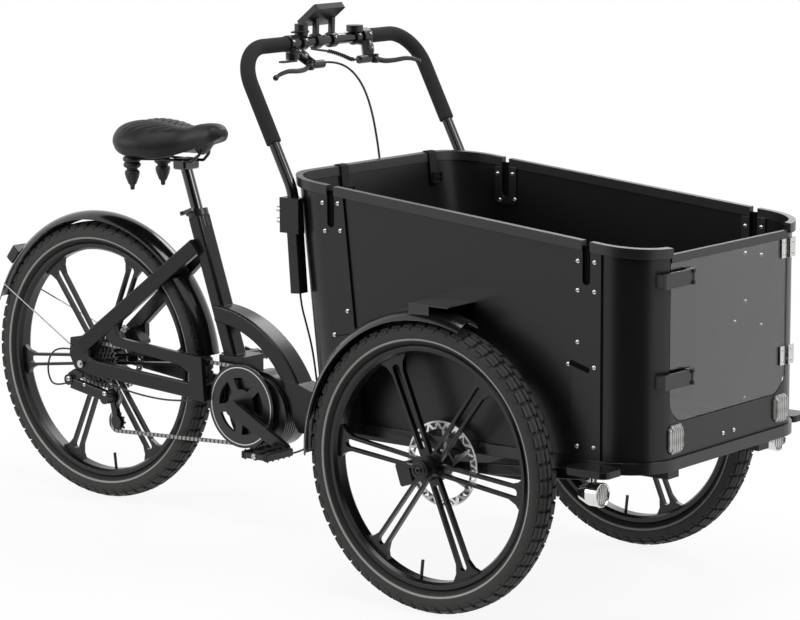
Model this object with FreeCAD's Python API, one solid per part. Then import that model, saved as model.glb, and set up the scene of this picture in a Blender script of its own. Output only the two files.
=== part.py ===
import FreeCAD, Part
import math
import os

V = FreeCAD.Vector
os.makedirs("parts", exist_ok=True)

# Overall layout in mm: x from the rear axle forward, y to the left, z up from the ground
REAR_R = 332.0
FRONT_R = 305.0
CRANK_AHEAD = 146.0
BB_X = REAR_R + CRANK_AHEAD
BB_Z = 283.0
FRONT_REACH = 799.0
WHEELBASE = BB_X + FRONT_REACH
BOX_HALF = 308.0
TRACK_OVER = 64.0
HALF_TRACK = BOX_HALF + TRACK_OVER
TRAIL = 177.0
STEER_X = WHEELBASE - TRAIL
ORIGIN_SHARE = 0.562803
HALF = 0.5
FULL_TURN = 360.0
TOUCH = 0.05
RUN = 0.05
GAP = 0.4
EDGE_ROUND = 2.0
FAR = 500.0

# Tyres and cast wheels
TIRE_DEPTH = 50.0
TIRE_HALF = 29.0
TIRE_BULGE_DROP = 28.0
TIRE_SHOULDER_DROP = 9.0
TIRE_SHOULDER_HALF = 22.0
TIRE_BEAD_HALF = 17.0
RIM_DEPTH = 17.0
RIM_PROFILE_SHARES = ((0.0, 0.85), (0.22, 1.0), (0.7, 0.95), (1.0, 0.6))
RIM_HALF = 21.0
SPOKES = 6
SPOKE_HALF = 6.0
SPOKE_ROOT = 13.0
SPOKE_END = 15.5
SPOKE_FLARE = 23.0
SPOKE_FOOT = 44.0
SPOKE_FLARE_BACK = 15.0
SPOKE_END_BACK = 34.0
SPOKE_BITE = 5.0
SLOT_ROOT_R = 40.0
SLOT_ROOT = 6.5
SLOT_END = 9.0
SLOT_END_BACK = 24.0
HUB_R = 27.0
FRONT_TURN = 6.3
REAR_TURN = 6.5
VALVE_R = 3.5
VALVE_LONG = 38.0
REAR_AXLE_R = 5.0
REAR_HUB_RIGHT = 30.0
REAR_HUB_LEFT = 62.0
REAR_ROTOR_R = 80.0
REAR_ROTOR_Y = 45.0
FRONT_AXLE_R = 9.0
FRONT_HUB_IN = 40.0
FRONT_HUB_OUT = 28.0
HUB_CAP_R = 20.0
HUB_CAP_LONG = 12.0
FRONT_ROTOR_R = 90.0
FRONT_ROTOR_IN = 39.0
ROTOR_THICK = 2.0
ROTOR_RING = 17.0
ROTOR_BOSS_R = 30.0
ROTOR_ARMS = 6
ROTOR_ARM_W = 8.0
ROTOR_ARM_SWEEP = 28.0
ROTOR_CUTS = 24
ROTOR_CUT_LONG = 11.0
ROTOR_CUT_W = 3.4
ROTOR_CUT_TILT = 38.0

# Drive
PITCH = 12.7
CHAIN_Y = -46.5
RING_TEETH = 44
SPROCKETS = (34, 30, 27, 24, 20, 17, 14, 11)
SPROCKET_STEP = 4.5
DRIVEN = 3
SPROCKET_T = 1.8
TOOTH = 2.6
TOOTH_ROOT = 3.2
TOOTH_ROOT_SHARE = 0.32
TOOTH_TIP_SHARE = 0.12
CASSETTE_CORE_R = 18.0
CASSETTE_END = 2.0
RING_T = 2.0
RING_INNER_R = 66.0
GUARD_OVER = 8.0
GUARD_OUT = 4.1
GUARD_T = 2.9
SPIDER_R = 72.0
SPIDER_ARMS = 5
SPIDER_ARM_W = 20.0
RING_BOLT_R = 5.0
CRANK_LONG = 170.0
CRANK_ANGLE = -26.0
CRANK_OUT = 86.0
CRANK_T = 14.0
CRANK_BOSS_IN = 44.0
CRANK_BOSS_R = 19.0
CRANK_ROOT_HALF = 17.0
CRANK_TIP_HALF = 12.0
SPINDLE_R = 9.0
PEDAL_AXLE_R = 6.0
PEDAL_CLEAR = 6.0
PEDAL_LONG = 94.0
PEDAL_HALF_X = 38.0
PEDAL_HALF_Z = 12.0
PEDAL_CORE_R = 11.0
PEDAL_RAIL = 11.0
PEDAL_END = 13.0
PULLEY_TEETH = 11
GUIDE_AT = (69.0, -76.0)
TENSION_AT = (83.0, -135.0)
PULLEY_BORE = 3.0
PULLEY_T = 2.0
CAGE_OUT = 5.2
CAGE_T = 1.6
CAGE_R = 15.0
PLATE_IN = 1.5
PLATE_OUT = 3.3
LINK_HALF = 4.0
ROLLER_R = 3.7
ROLLER_CLEAR = 0.8
MOTOR_AT = (37.0, -13.0)
MOTOR_R = 86.0
MOTOR_HALF = 40.0
MOTOR_RIB_STEP = 8.0
MOTOR_RIB_CUT = 3.0
MOTOR_RIB_DEPTH = 4.0
MOTOR_RIB_IN = 4.0
MOTOR_RIBS = 5
MOTOR_COVER_R = 70.0
MOTOR_COVER_T = 6.0

# Main frame: x and z from the crank axle, but the beam's front end from the steering axis
SEAT_LEAN_SHARE = 0.339
SEAT_FOOT = (-56.961, 89.0)
SEAT_TUBE_TALL = 328.0
SEAT_TUBE_W = 44.0
SEAT_TUBE_D = 36.0
SEAT_TUBE_ROUND = 8.0
COLLAR_R = 19.5
COLLAR_SINK = 26.0
POST_R = 13.6
BORE_DEEP = 300.0
ARCH_TOP = ((-106.0, 220.0), (37.0, 180.0), (150.0, 62.0))
ARCH_LOW = ((114.0, 35.0), (25.0, 141.0), (-100.0, 181.0))
ARCH_HALF = 27.0
ARCH_EDGE = 5.0
BEAM_REAR_TOP = ((110.0, 69.0), (150.0, 64.0), (222.0, 42.0))
BEAM_REAR_LOW = ((222.0, -47.0), (150.0, -47.0), (112.0, 17.0))
BEAM_LEVEL_SHARE = 0.2875
BEAM_END_BACK = 22.0
BEAM_TALL = 54.0
BEAM_TOP_DROP = 5.0
BEAM_HALF = 28.0
HEAD_R = 34.0
HEAD_BORE = 21.0
HEAD_TALL = 70.0
HEAD_TOP_UP = 3.0
BEARING_T = 4.0
KING_R = 15.0
BRACKET_BACK = 80.0
BRACKET_FRONT = 8.0
BRACKET_DROP = 21.0
BRACKET_UP = 109.0
BRACKET_HALF = 36.0
CRADLE_T = 8.0
CRADLE_HALF = 26.0

# Rear stays: x and z from the rear axle, or from the crank axle where the name ends in front
STAY_LOW = (-4.0, 74.0, 39.5)
STAY_HIGH_FRONT = (-156.0, 27.0, 353.0)
STAY_W = 20.0
STAY_H = 36.0
STAY_ROUND = 4.0
DROPOUT = ((-36.0, 60.0), (-40.0, 18.0), (-24.0, -12.0), (6.0, -24.0), (46.0, -20.0), (46.0, 11.0),
           (22.0, 20.0), (16.0, 70.0))
DROPOUT_IN = 69.0
DROPOUT_T = 10.0
LOW_STAY_REAR = (18.0, 74.0, -5.0)
LOW_STAY_RIGHT_FRONT = (-112.0, 60.0, 19.0)
LOW_STAY_LEFT_FRONT = (-66.0, 34.0, 17.0)
LOW_STAY_W = 12.0
LOW_STAY_H = 36.0
RAISED_REAR = ((92.0, 52.0), (72.0, 68.0), (56.0, 98.0), (88.0, 126.0), (108.0, 72.0))
RAISED_FRONT = ((-106.0, 103.0), (-99.0, 1.0), (-140.0, 1.0), (-144.0, 63.0), (-174.0, 79.0))
RAISED_IN = 57.0
RAISED_T = 12.0
CROSS_LONG = 38.0
CROSS_BACK = 138.0
CROSS_UP = 1.0
CROSS_TALL = 38.0
CROSS_IN = 28.0
CROSS_OUT = 60.0
CROSS_BAR_FRONT = 58.0
CROSS_BAR_W = 18.0
CROSS_BAR_IN = 24.0
CROSS_BAR_EDGE = 2.0
REAR_NUT_R = 9.0
REAR_NUT_T = 7.0
REAR_NUT_OVER = 11.0

# Rear fender, light and small rear fittings: x and z from the rear axle
FENDER_T = 2.0
REAR_FENDER_CROWN_UP = 25.0
REAR_FENDER_EDGE_UP = 6.0
REAR_FENDER_HALF = 34.0
REAR_FENDER_ANGLES = (8.0, 160.0)
WIRE_R = 1.7
WIRE_LOW = (-31.0, 81.5, 41.0)
WIRE_ANGLE = 152.2
LIGHT_ANGLE = 141.0
LIGHT_HALF_Y = 21.0
LIGHT_LONG = 40.0
LIGHT_DEEP = 26.0
LIGHT_ROUND = 7.0
HANGER = ((-20.0, -14.0), (8.0, -23.0), (6.0, -32.0), (-22.0, -44.0), (-40.0, -40.0), (-40.0, -26.0))
HANGER_T = 7.0
B_KNUCKLE = (-32.0, -40.0)
B_KNUCKLE_R = 13.0
B_KNUCKLE_LONG = 15.0
LINK_REAR = (-26.0, -84.0, -48.0)
LINK_FRONT = (66.0, -70.0, -70.0)
LINK_W = 16.0
LINK_H = 26.0
P_KNUCKLE_R = 14.0
P_KNUCKLE_OUT = 31.5
REAR_CALIPER_AT = (64.0, 52.0)
CALIPER_LONG = 50.0
CALIPER_TALL = 34.0
CALIPER_HALF_Y = 17.0
CALIPER_SLOT = 1.6
CALIPER_SLOT_HALF = 2.1
CALIPER_ROUND = 6.0
CALIPER_SINK = 14.0
CALIPER_ARM_TALL = 40.0
CALIPER_ARM_HALF = 14.0

# Seat: x and z from the top of the post
POST_SINK = 160.0
POST_RISE = 112.0
POST_HEAD_LONG = 38.0
POST_HEAD_WIDE = 54.0
POST_HEAD_TALL = 26.0
POST_HEAD_DROP = 4.0
POST_HEAD_ROUND = 6.0
CLAMP_R = 24.0
CLAMP_LONG = 16.0
LUG_LONG = 20.0
LUG_WIDE = 26.0
LUG_SINK = 8.0
QR_PIN_R = 3.0
QR_BODY_R = 7.0
QR_LEVER_LONG = 44.0
QR_LEVER_W = 9.0
QR_LEVER_T = 7.0
QR_LEVER_OUT = 14.0
SADDLE_BACK = 168.0
SADDLE_LONG = 280.0
SADDLE_HALF = 112.0
SADDLE_UP = 24.0
SADDLE_TALL = 82.0
SADDLE_STATION_SHARES = ((0.0, 0.446, 0.39, 0.78), (0.064, 0.786, 0.146, 0.915), (0.2, 1.0, 0.024, 1.0),
                         (0.361, 0.964, 0.0, 0.975), (0.514, 0.76, 0.0, 0.91), (0.664, 0.45, 0.15, 0.89),
                         (0.814, 0.33, 0.34, 1.0), (0.943, 0.3, 0.48, 1.0), (1.0, 0.19, 0.6, 0.9))
SADDLE_SECTION_SHARES = ((0.0, 1.0), (0.42, 0.97), (0.76, 0.82), (0.97, 0.50), (0.95, 0.20), (0.78, 0.02),
                         (0.45, 0.06), (0.0, 0.10))
RAIL_R = 3.5
RAIL_PATH = ((64.0, 12.0, 62.0), (56.0, 16.0, 34.0), (34.0, 22.0, 17.0), (-58.0, 22.0, 17.0),
             (-100.0, 46.0, 17.0))
ELASTOMER_AT = (-122.0, 52.0)
ELASTOMER = ((0.0, 35.0), (14.0, 35.0), (19.0, 14.0), (19.0, 0.0), (14.0, -9.0), (15.0, -16.0),
             (5.0, -44.0), (5.0, -54.0), (0.0, -56.0))

# Cargo box: from here on x and z are from the front axle
FRONT_X = 478.0
REAR_X = -454.0
LEAN_SHARE = 0.116
LEAN_Z = 555.0
CORNER_R = 100.0
BASE_Z = 52.0
PANEL_T = 5.0
WALL_TALL = 433.0
WALL_OVER = 58.0
CUT_OVER = 130.0
RIM_AT = 340.0
RIM_SLOPE_SHARE = 0.0908
RIM_OVER = 5.0
RIM_DROP = 15.0
RIM_OUT = 7.5
JOINT_WIDE = 62.0
JOINT_REAR_IN = 10.4
JOINT_LEAN_SHARE = 0.11
JOINT_BITE = 8.0
SEAM = 0.4
SLOT_HALF = 9.5
SLOT_FRONT_BACK = 135.0
SLOT_REAR_AHEAD = 143.0
SLOT_DEEP = 73.5
SLOT_PLATE_HALF = 30.0
SLOT_PLATE_DOWN = 26.0
SLOT_PLATE_T = 3.0
FLOOR_T = 24.0
FLOOR_OUT = 6.0
FLOOR_DROP = 0.3
BOARD_T = 2.0
BOARD_CLEAR = 1.0
SCREW_R = 5.0
SCREW_T = 3.0
FRONT_SCREW_XS = (-55.0, -15.0)
FRONT_SCREW_SHARES = ((0.923, 0.787, 0.545, 0.055), (0.924, 0.787, 0.434, 0.058))
REAR_SCREW_XS = (6.0, 48.0)
REAR_SCREW_SHARES = ((0.929, 0.81, 0.368), (0.932, 0.817, 0.477))
INNER_SCREW_BACK = 181.0
INNER_SCREW_SHARE = 0.428
STRIP_SCREW_Y = 20.0
STRIP_SCREW_UP = 21.0
BATTERY_BACK = 24.7
BATTERY_LONG = 80.0
BATTERY_HALF = 165.0
BATTERY_TALL = 112.7
BATTERY_ROUND = 12.0

# Door
DOOR_POST = 92.0
DOOR_HALF = BOX_HALF - DOOR_POST
DOOR_GAP = 2.0
DOOR_SILL = 72.0
DOOR_TOP_DROP = 17.5
DOOR_ROUND = 50.0
DOOR_BACK = 0.5
SHEET_T = 4.0
EDGING_T = 10.0
EDGING_TALL = 17.0
EDGING_LAP = 9.0
HINGE_SHARES = (0.912, 0.23)
HINGE_OVER = 3.5
HINGE_OUT = 4.7
HINGE_HALF = 20.0
HINGE_MID = 6.6
HINGE_R = 4.0
HINGE_PIN_R = 2.0
LEAF_T = 3.0
LEAF_LONG = 26.0
LEAF_CLEAR = 4.6
LATCH_SHARES = (0.876, 0.266)
LATCH_IN = 61.0
LATCH_OUT = 10.5
LATCH_HALF = 15.5
LATCH_MID = 8.2
LATCH_EAR_R = 7.4
LATCH_KNUCKLE_R = 5.0
LATCH_PIN_R = 2.4
LATCH_LONG = 98.0
LATCH_START = 9.2
LATCH_BACK = 3.4
LATCH_FRONT = 3.0
LATCH_TAB = 5.0
KEEPER_OVER = 17.0
KEEPER_LONG = 19.0
KEEPER_HALF = 12.0
KEEPER_OUT = 6.4
KEEPER_IN = 40.0
REFLECTOR_IN = 19.0
REFLECTOR_DROP = 4.0
REFLECTOR_TALL = 59.0
REFLECTOR_HALF = 24.0
REFLECTOR_T = 9.0
REFLECTOR_CUT = 9.0

# Under-frame, axles, steps, headlights
RAIL_REAR_IN = 89.0
RAIL_FRONT_IN = 20.0
RAIL_IN = 150.0
RAIL_OUT = 190.0
RAIL_TALL = 24.6
AXLE_OVER = 10.0
AXLE_HALF = 18.0
PLATE_CLEAR = 2.0
UPPER_T = 12.0
UPPER_HALF = 70.0
UPPER_BACK = 42.0
UPPER_FRONT = 15.0
LOWER_T = 11.0
LOWER_HALF = 60.0
LOWER_BACK = 36.0
LOWER_FRONT = 23.0
WEB_AHEAD = 46.0
WEB_BITE = 1.0
SPREADER_BACK = 127.0
SPREADER_FRONT = 27.0
SPREADER_TALL = 18.0
SPREADER_DROP = 2.6
STEP_REAR = 143.0
STEP_FRONT = 39.0
STEP_IN = 7.0
STEP_OUT = 74.0
STEP_DROP = 5.0
STEP_T = 14.0
STEP_ROUND = 18.0
STRUT_REAR_X = 13.0
STRUT_REAR_IN = 2.0
STRUT_REAR_DROP = 9.0
STRUT_FRONT_BACK = 115.0
STRUT_FRONT_OUT = 26.0
STRUT_W = 10.0
STRUT_H = 22.0
STRUT_BITE = 6.0
LAMP_BACK = 84.0
LAMP_OUT = 23.0
LAMP_DROP = 63.0
LAMP_R = 24.0
LAMP_LONG = 46.0
LAMP_TAIL_R = 15.0
LAMP_POST_R = 5.0
FRONT_CALIPER_AT = (-79.0, -27.0)
CALIPER_PLATE_X = (-93.0, -13.0)
CALIPER_PLATE_Z = (-39.0, -5.0)
CALIPER_PLATE_T = 6.95

# Front fenders
FRONT_FENDER_CROWN_UP = 24.0
FRONT_FENDER_EDGE_UP = 2.5
FRONT_FENDER_HALF = 36.0
FRONT_FENDER_ANGLES = (72.0, 182.0)
BRIDGE_REAR = 37.0
BRIDGE_FRONT = 64.0
BRIDGE_CLEAR = 0.2
BRIDGE_OVER = 26.0
BRIDGE_UP = 11.0
BRIDGE_T = 3.0
BRIDGE_SKIRT = 27.0
BRIDGE_FOOT = 52.0

# Handlebar: x from the top of the rear wall, z from the box base
BAR_R = 12.0
BAR_IN = 8.0
BAR_FOOT = (42.0, 283.0)
BAR_KNEE = (28.0, 477.0)
BAR_TOP = (-124.0, 769.0)
BAR_KNEE_ROUND = 100.0
BAR_TOP_ROUND = 85.0
FOAM_R = 16.5
FOAM_LOW_SHARE = 0.3288
FOAM_IN_Y = 140.0
SLEEVE_LOW = (43.7, 259.0)
SLEEVE_HIGH = (29.4, 461.0)
SLEEVE_W = 27.0
BLOCK_BACK = 6.0
BLOCK_FRONT = 58.0
BLOCK_HALF = 18.0
BLOCK_Z = (388.0, 463.0)
BLOCK_BOLT_ZS = (411.0, 435.0)
BLOCK_BOLT_R = 6.0
BLOCK_BOLT_T = 20.0

# Fittings on the bar: x and z from the centre of its top run
LEVER_AT = (45.0, 112.0, -46.0)
LEVER_CLAMP_Y = (113.0, 138.0)
LEVER_CLAMP_R = 18.5
LEVER_MID = 5.0
LEVER_EAR = 10.0
LEVER_KNUCKLE_R = 8.0
LEVER_PIN_R = 2.5
LEVER_TIP_SHARE = 0.82
LEVER_BEND_SHARE = 0.533333
LEVER_TIP = (55.0, -60.0)
LEVER_BEND = (63.0, -48.0)
LEVER_SWEPT = (7.0, -60.0)
LEVER_W = 9.0
LEVER_T = 7.0
LEVER_BALL_R = 8.0
LEVER_ZONE = 2.0
LEVER_ROOM = 3.0
MOUNT_BODY = ((9.0, 126.0, -14.0), (39.0, 96.0, -45.0))
MOUNT_W = 24.0
MOUNT_H = 22.0
RESERVOIR_R = 9.0
RESERVOIR_Y = (62.0, 100.0)
SHIFT_AT = (29.0, -152.0, -24.0)
SHIFT_R = 15.0
SHIFT_HALF = 7.0
SHIFT_LEVER_T = 4.0
SHIFT_LEVER_LONG = 46.0
SHIFT_LEVER_W = 14.0
SHIFT_NECK = ((11.0, -128.0, -14.0), (27.0, -150.0, -24.0))
SHIFT_NECK_W = 14.0
BELL_Y = -88.0
BELL_R = 15.0
BELL_Z = (15.0, 41.0)
BELL_LEVER_Z = (22.0, 26.0)
BELL_RING = 2.5
BELL_LEVER_LONG = 16.0
BELL_LEVER_W = 7.0
POD_Y = 96.0
POD_R = 19.0
POD_Z = (13.0, 27.0)
FITTING_CLAMP_R = 17.0
FITTING_CLAMP_HALF = 8.0
DISPLAY_AT = (5.0, -26.0, 58.0)
DISPLAY_W = 98.0
DISPLAY_L = 66.0
DISPLAY_T = 14.0
DISPLAY_ROUND = 5.0
DISPLAY_TILT = 38.0
DISPLAY_ARM_YS = (-40.0, 14.0)
DISPLAY_ARM_W = 12.0
DISPLAY_ARM_TOP = (2.0, 50.0)
DISPLAY_ARM_LOW = (0.0, 4.0)

# Straps, hoses and cables: front hoses from the front axle, rear cables from the rear and crank axles
STRAP_SHARES = (-0.5048, 0.9856)
STRAP_W = 26.0
STRAP_T = 2.0
STRAP_OUT_LONG = 52.0
STRAP_IN_LONG = 70.0
STRAP_STAND = 1.0
STRAP_BACK = 3.0
BUCKLE_WIDE = 32.0
BUCKLE_TALL = 26.0
BUCKLE_T = 8.0
HOSE_R = 2.5
HOSE_RIGHT = ((-537.0, -61.0, 778.0), (-529.0, -18.0, 778.0), (-509.0, 24.0, 743.0), (-489.0, 42.0, 680.0),
              (-471.0, 46.0, 585.0), (-465.0, 46.0, 525.0), (-451.0, 46.0, 400.0))
HOSE_LEFT = ((-537.0, 61.0, 778.0), (-533.0, 36.0, 775.0), (-537.0, 8.0, 787.0), (-549.0, -24.0, 799.0),
             (-559.0, -52.0, 803.0), (-565.0, -70.0, 807.0))
LEAD = ((-409.5, 0.0, 329.0), (-407.0, 0.0, 291.0), (-393.0, 1.0, 247.0), (-378.0, 3.0, 195.0),
        (-369.0, 6.0, 125.0), (-360.0, 8.0, 47.0))
LEAD_R = 2.2
SHIFT_LOOP = ((-34.0, -74.0, 30.0), (-78.0, -78.0, 32.0), (-108.0, -80.0, 6.0), (-112.0, -82.0, -36.0),
              (-88.0, -84.0, -66.0), (-38.0, -86.0, -48.0))
STAY_CABLE = ((60.0, -71.0, -28.0), (110.0, -69.0, -47.0), (190.0, -66.0, -58.0), (280.0, -62.0, -60.0),
              (334.0, -58.0, -51.0))
MOTOR_LEAD = ((62.0, -26.0, -95.0), (97.0, -27.0, -105.0), (147.0, -28.0, -93.0), (190.0, -24.0, -69.0),
              (216.0, -20.0, -46.0))
CABLE_R = 2.2
BEND_SHARE = 0.45

REAR_AT = V(0, 0, REAR_R)
CRANK_AT = V(BB_X, 0, BB_Z)
FRONT_AT = V(WHEELBASE, 0, FRONT_R)
ORIGIN = V(WHEELBASE * ORIGIN_SHARE, 0, 0)


def box(x0, x1, y0, y1, z0, z1):
    return Part.makeBox(x1 - x0, y1 - y0, z1 - z0, V(x0, y0, z0))


def cyl(a, b, r):
    return Part.makeCylinder(r, (b - a).Length, a, b - a)


def side(points, y0, y1):
    loop = [V(x, y0, z) for x, z in points]
    return Part.Face(Part.makePolygon(loop + loop[:1])).extrude(V(0, y1 - y0, 0))


def disc(x, z, r, y0, y1):
    return Part.makeCylinder(r, y1 - y0, V(x, y0, z), V(0, 1, 0))


def mirror(shape):
    return shape.mirror(V(0, 0, 0), V(0, 1, 0))


def both(shape):
    return [shape, mirror(shape)]


def joined(shapes):
    return shapes[0].fuse(shapes[1:]).removeSplitter()


def largest(shape):
    return max(shape.Solids, key=lambda q: q.Volume)


def flat(points, base):
    return [(x + base.x, z + base.z) for x, z in points]


def at(p, base, s=1):
    return V(p[0] + base.x, p[1] * s, p[2] + base.z)


def ordered(a, b, s):
    return sorted((a * s, b * s))


def frame_of(a, b):
    along = (b - a).normalize()
    across = V(0, 0, 1).cross(along)
    if across.Length < RUN:
        across = V(0, 1, 0)
    across.normalize()
    return along, across, along.cross(across)


def rounded(w, h, r):
    x, y = w * HALF, h * HALF
    k = r * (1 - math.sqrt(HALF))
    e = []
    for sx, sy, flip in ((1, 1, 0), (-1, 1, 1), (-1, -1, 0), (1, -1, 1)):
        p, q = V(sx * x, sy * (y - r), 0), V(sx * (x - r), sy * y, 0)
        if flip:
            p, q = q, p
        e.append(Part.Arc(p, V(sx * (x - k), sy * (y - k), 0), q).toShape())
    lines = []
    for i in range(len(e)):
        a, b = e[i].Vertexes[-1].Point, e[(i + 1) % len(e)].Vertexes[0].Point
        lines.append(Part.makeLine(a, b))
    return Part.Wire([s for pair in zip(e, lines) for s in pair])


def bar(a, b, w, h, r):
    along, across, up = frame_of(a, b)
    face = Part.Face(rounded(w, h, r))
    m = FreeCAD.Matrix(across.x, up.x, along.x, a.x, across.y, up.y, along.y, a.y,
                       across.z, up.z, along.z, a.z, 0, 0, 0, 1)
    face.Placement = FreeCAD.Placement(m)
    return face.extrude(b - a)


def path(points, rounds):
    edges, last = [], points[0]
    for i in range(1, len(points) - 1):
        p, q, n = points[i - 1], points[i], points[i + 1]
        u, w = (p - q).normalize(), (n - q).normalize()
        half_turn = (math.pi - u.getAngle(w)) * HALF
        room = BEND_SHARE * min((p - q).Length, (n - q).Length)
        r = room / math.tan(half_turn) if rounds is None else rounds[i - 1]
        t = r * math.tan(half_turn)
        a, b = q + u * t, q + w * t
        mid = q + (u + w).normalize() * (r / math.cos(half_turn) - r)
        edges += [Part.makeLine(last, a), Part.Arc(a, mid, b).toShape()]
        last = b
    edges.append(Part.makeLine(last, points[-1]))
    return Part.Wire(edges)


def pipe(points, r, rounds=None):
    wire = path(points, rounds)
    start = Part.Wire(Part.makeCircle(r, points[0], points[1] - points[0]))
    tube = wire.makePipeShell([start], True, False)
    print("pipe", round(wire.Length), round(tube.Volume / (math.pi * r * r * wire.Length), 4))
    return tube


def upright(shape, low, high):
    return [e for e in shape.Edges if abs(e.Vertexes[0].Point[low] - e.Vertexes[1].Point[low]) > high]


def save(name, shape, base=V(0, 0, 0)):
    shapes = shape if isinstance(shape, list) else [shape]
    solids = [s for one in shapes for s in one.Solids]
    out = Part.makeCompound(solids) if len(solids) > 1 else solids[0]
    out = out.copy()
    out.translate(base - ORIGIN)
    print(name, len(solids), out.isValid(), round(out.Volume))
    out.exportStep("parts/" + name + ".step")


# Tyre: rubber ring with round shoulders, solid down to the bead seat
def tire(r):
    a, m = V(r - TIRE_DEPTH, -TIRE_BEAD_HALF, 0), V(r - TIRE_BULGE_DROP, -TIRE_HALF, 0)
    s = V(r - TIRE_SHOULDER_DROP, -TIRE_SHOULDER_HALF, 0)
    flip = [V(p.x, -p.y, 0) for p in (a, m, s)]
    edges = [Part.Arc(a, m, s).toShape(), Part.Arc(s, V(r, 0, 0), flip[2]).toShape(),
             Part.Arc(flip[2], flip[1], flip[0]).toShape(), Part.makeLine(flip[0], a)]
    return Part.Face(Part.Wire(edges)).revolve(V(0, 0, 0), V(0, 1, 0), FULL_TURN)


# Cast wheel: rim ring, six arms of two bars, hub with a bore for the axle
def casting(r, turn, hub_y, bore):
    seat = r - TIRE_DEPTH
    rim_in = seat - RIM_DEPTH
    low = [V(seat - RIM_DEPTH * d, -RIM_HALF * w, 0) for d, w in RIM_PROFILE_SHARES]
    loop = low + [V(p.x, -p.y, 0) for p in reversed(low)]
    parts = [Part.Face(Part.makePolygon(loop + loop[:1])).revolve(V(0, 0, 0), V(0, 1, 0), FULL_TURN)]
    half = [(0, SPOKE_ROOT), (SLOT_ROOT_R, SPOKE_ROOT), (rim_in - SPOKE_END_BACK, SPOKE_END),
            (rim_in - SPOKE_FLARE_BACK, SPOKE_FLARE), (rim_in + SPOKE_BITE, SPOKE_FOOT)]
    outline = [(x, -w) for x, w in half] + [(x, w) for x, w in reversed(half)]
    end = rim_in - SLOT_END_BACK
    slot = [(SLOT_ROOT_R, -SLOT_ROOT), (end, -SLOT_END), (end, SLOT_END), (SLOT_ROOT_R, SLOT_ROOT)]
    arm = side(outline, -SPOKE_HALF, SPOKE_HALF).cut(side(slot, -RIM_HALF, RIM_HALF))
    arm = arm.cut(disc(end, 0, SLOT_END, -RIM_HALF, RIM_HALF))
    for i in range(SPOKES):
        one = arm.copy()
        one.rotate(V(0, 0, 0), V(0, -1, 0), turn + FULL_TURN * i / SPOKES)
        parts.append(one)
    parts.append(disc(0, 0, HUB_R, hub_y[0], hub_y[1]))
    wheel = joined(parts).cut(disc(0, 0, bore + RUN, hub_y[0] - RIM_HALF, hub_y[1] + RIM_HALF))
    valve = Part.makeCylinder(VALVE_R, VALVE_LONG, V(0, 0, -rim_in + TOUCH), V(0, 0, 1))
    valve.rotate(V(0, 0, 0), V(0, -1, 0), turn)
    return [wheel, valve]


# Brake rotor: brake ring with slanted windows, swept arms, boss
def rotor(r, boss_bore):
    through = (-ROTOR_THICK, ROTOR_THICK + ROTOR_THICK)
    ring = disc(0, 0, r, 0, ROTOR_THICK).cut(disc(0, 0, r - ROTOR_RING, *through))
    parts = [ring, disc(0, 0, ROTOR_BOSS_R, 0, ROTOR_THICK)]
    mid = r - ROTOR_RING * HALF
    for i in range(ROTOR_ARMS):
        a = math.radians(FULL_TURN * i / ROTOR_ARMS)
        b = a + math.radians(ROTOR_ARM_SWEEP)
        p = V(math.cos(a), 0, math.sin(a)) * (ROTOR_BOSS_R - ROTOR_ARM_W)
        q = V(math.cos(b), 0, math.sin(b)) * (mid - ROTOR_CUT_W)
        n = V(0, 1, 0).cross((q - p).normalize()) * (ROTOR_ARM_W * HALF)
        parts.append(side([(c.x, c.z) for c in (p - n, q - n, q + n, p + n)], 0, ROTOR_THICK))
    body = joined(parts)
    cuts = []
    long, w = ROTOR_CUT_LONG * HALF, ROTOR_CUT_W * HALF
    for i in range(ROTOR_CUTS):
        one = box(-long, long, through[0], through[1], -w, w)
        one.rotate(V(0, 0, 0), V(0, -1, 0), ROTOR_CUT_TILT * (1 if i % 2 else -1))
        one.translate(V(mid, 0, 0))
        one.rotate(V(0, 0, 0), V(0, -1, 0), FULL_TURN * i / ROTOR_CUTS)
        cuts.append(one)
    cuts.append(disc(0, 0, boss_bore, *through))
    return body.cut(Part.makeCompound(cuts))


def pitch_r(teeth):
    return PITCH * HALF / math.sin(math.pi / teeth)


def toothed(teeth, thick, bore):
    r = pitch_r(teeth)
    pts = []
    step = 2 * math.pi / teeth
    root, crest = r - TOOTH_ROOT, r + TOOTH
    shape = ((-TOOTH_ROOT_SHARE, root), (-TOOTH_TIP_SHARE, crest), (TOOTH_TIP_SHARE, crest),
             (TOOTH_ROOT_SHARE, root))
    for i in range(teeth):
        for off, q in shape:
            pts.append((q * math.cos(step * (i + off)), q * math.sin(step * (i + off))))
    return side(pts, 0, thick).cut(disc(0, 0, bore, -thick, thick + thick))


# Rear wheel, its rotor and the cassette
save("rear_tire", tire(REAR_R), REAR_AT)
save("rear_wheel", casting(REAR_R, REAR_TURN, (-REAR_HUB_RIGHT, REAR_HUB_LEFT), REAR_AXLE_R), REAR_AT)
disk = rotor(REAR_ROTOR_R, HUB_R + TOUCH)
disk.translate(V(0, REAR_ROTOR_Y, 0))
save("rear_rotor", disk, REAR_AT)
stack = []
first_y = CHAIN_Y + DRIVEN * SPROCKET_STEP
for i, teeth in enumerate(SPROCKETS):
    one = toothed(teeth, SPROCKET_T, REAR_AXLE_R + RUN)
    one.translate(V(0, first_y - i * SPROCKET_STEP - SPROCKET_T * HALF, 0))
    stack.append(one)
last_y = first_y - (len(SPROCKETS) - 1) * SPROCKET_STEP
core = disc(0, 0, CASSETTE_CORE_R, last_y - CASSETTE_END, first_y + SPROCKET_T)
stack.append(core.cut(disc(0, 0, REAR_AXLE_R + RUN, last_y - HUB_R, first_y + HUB_R)))
save("cassette", joined(stack), REAR_AT)

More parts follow.
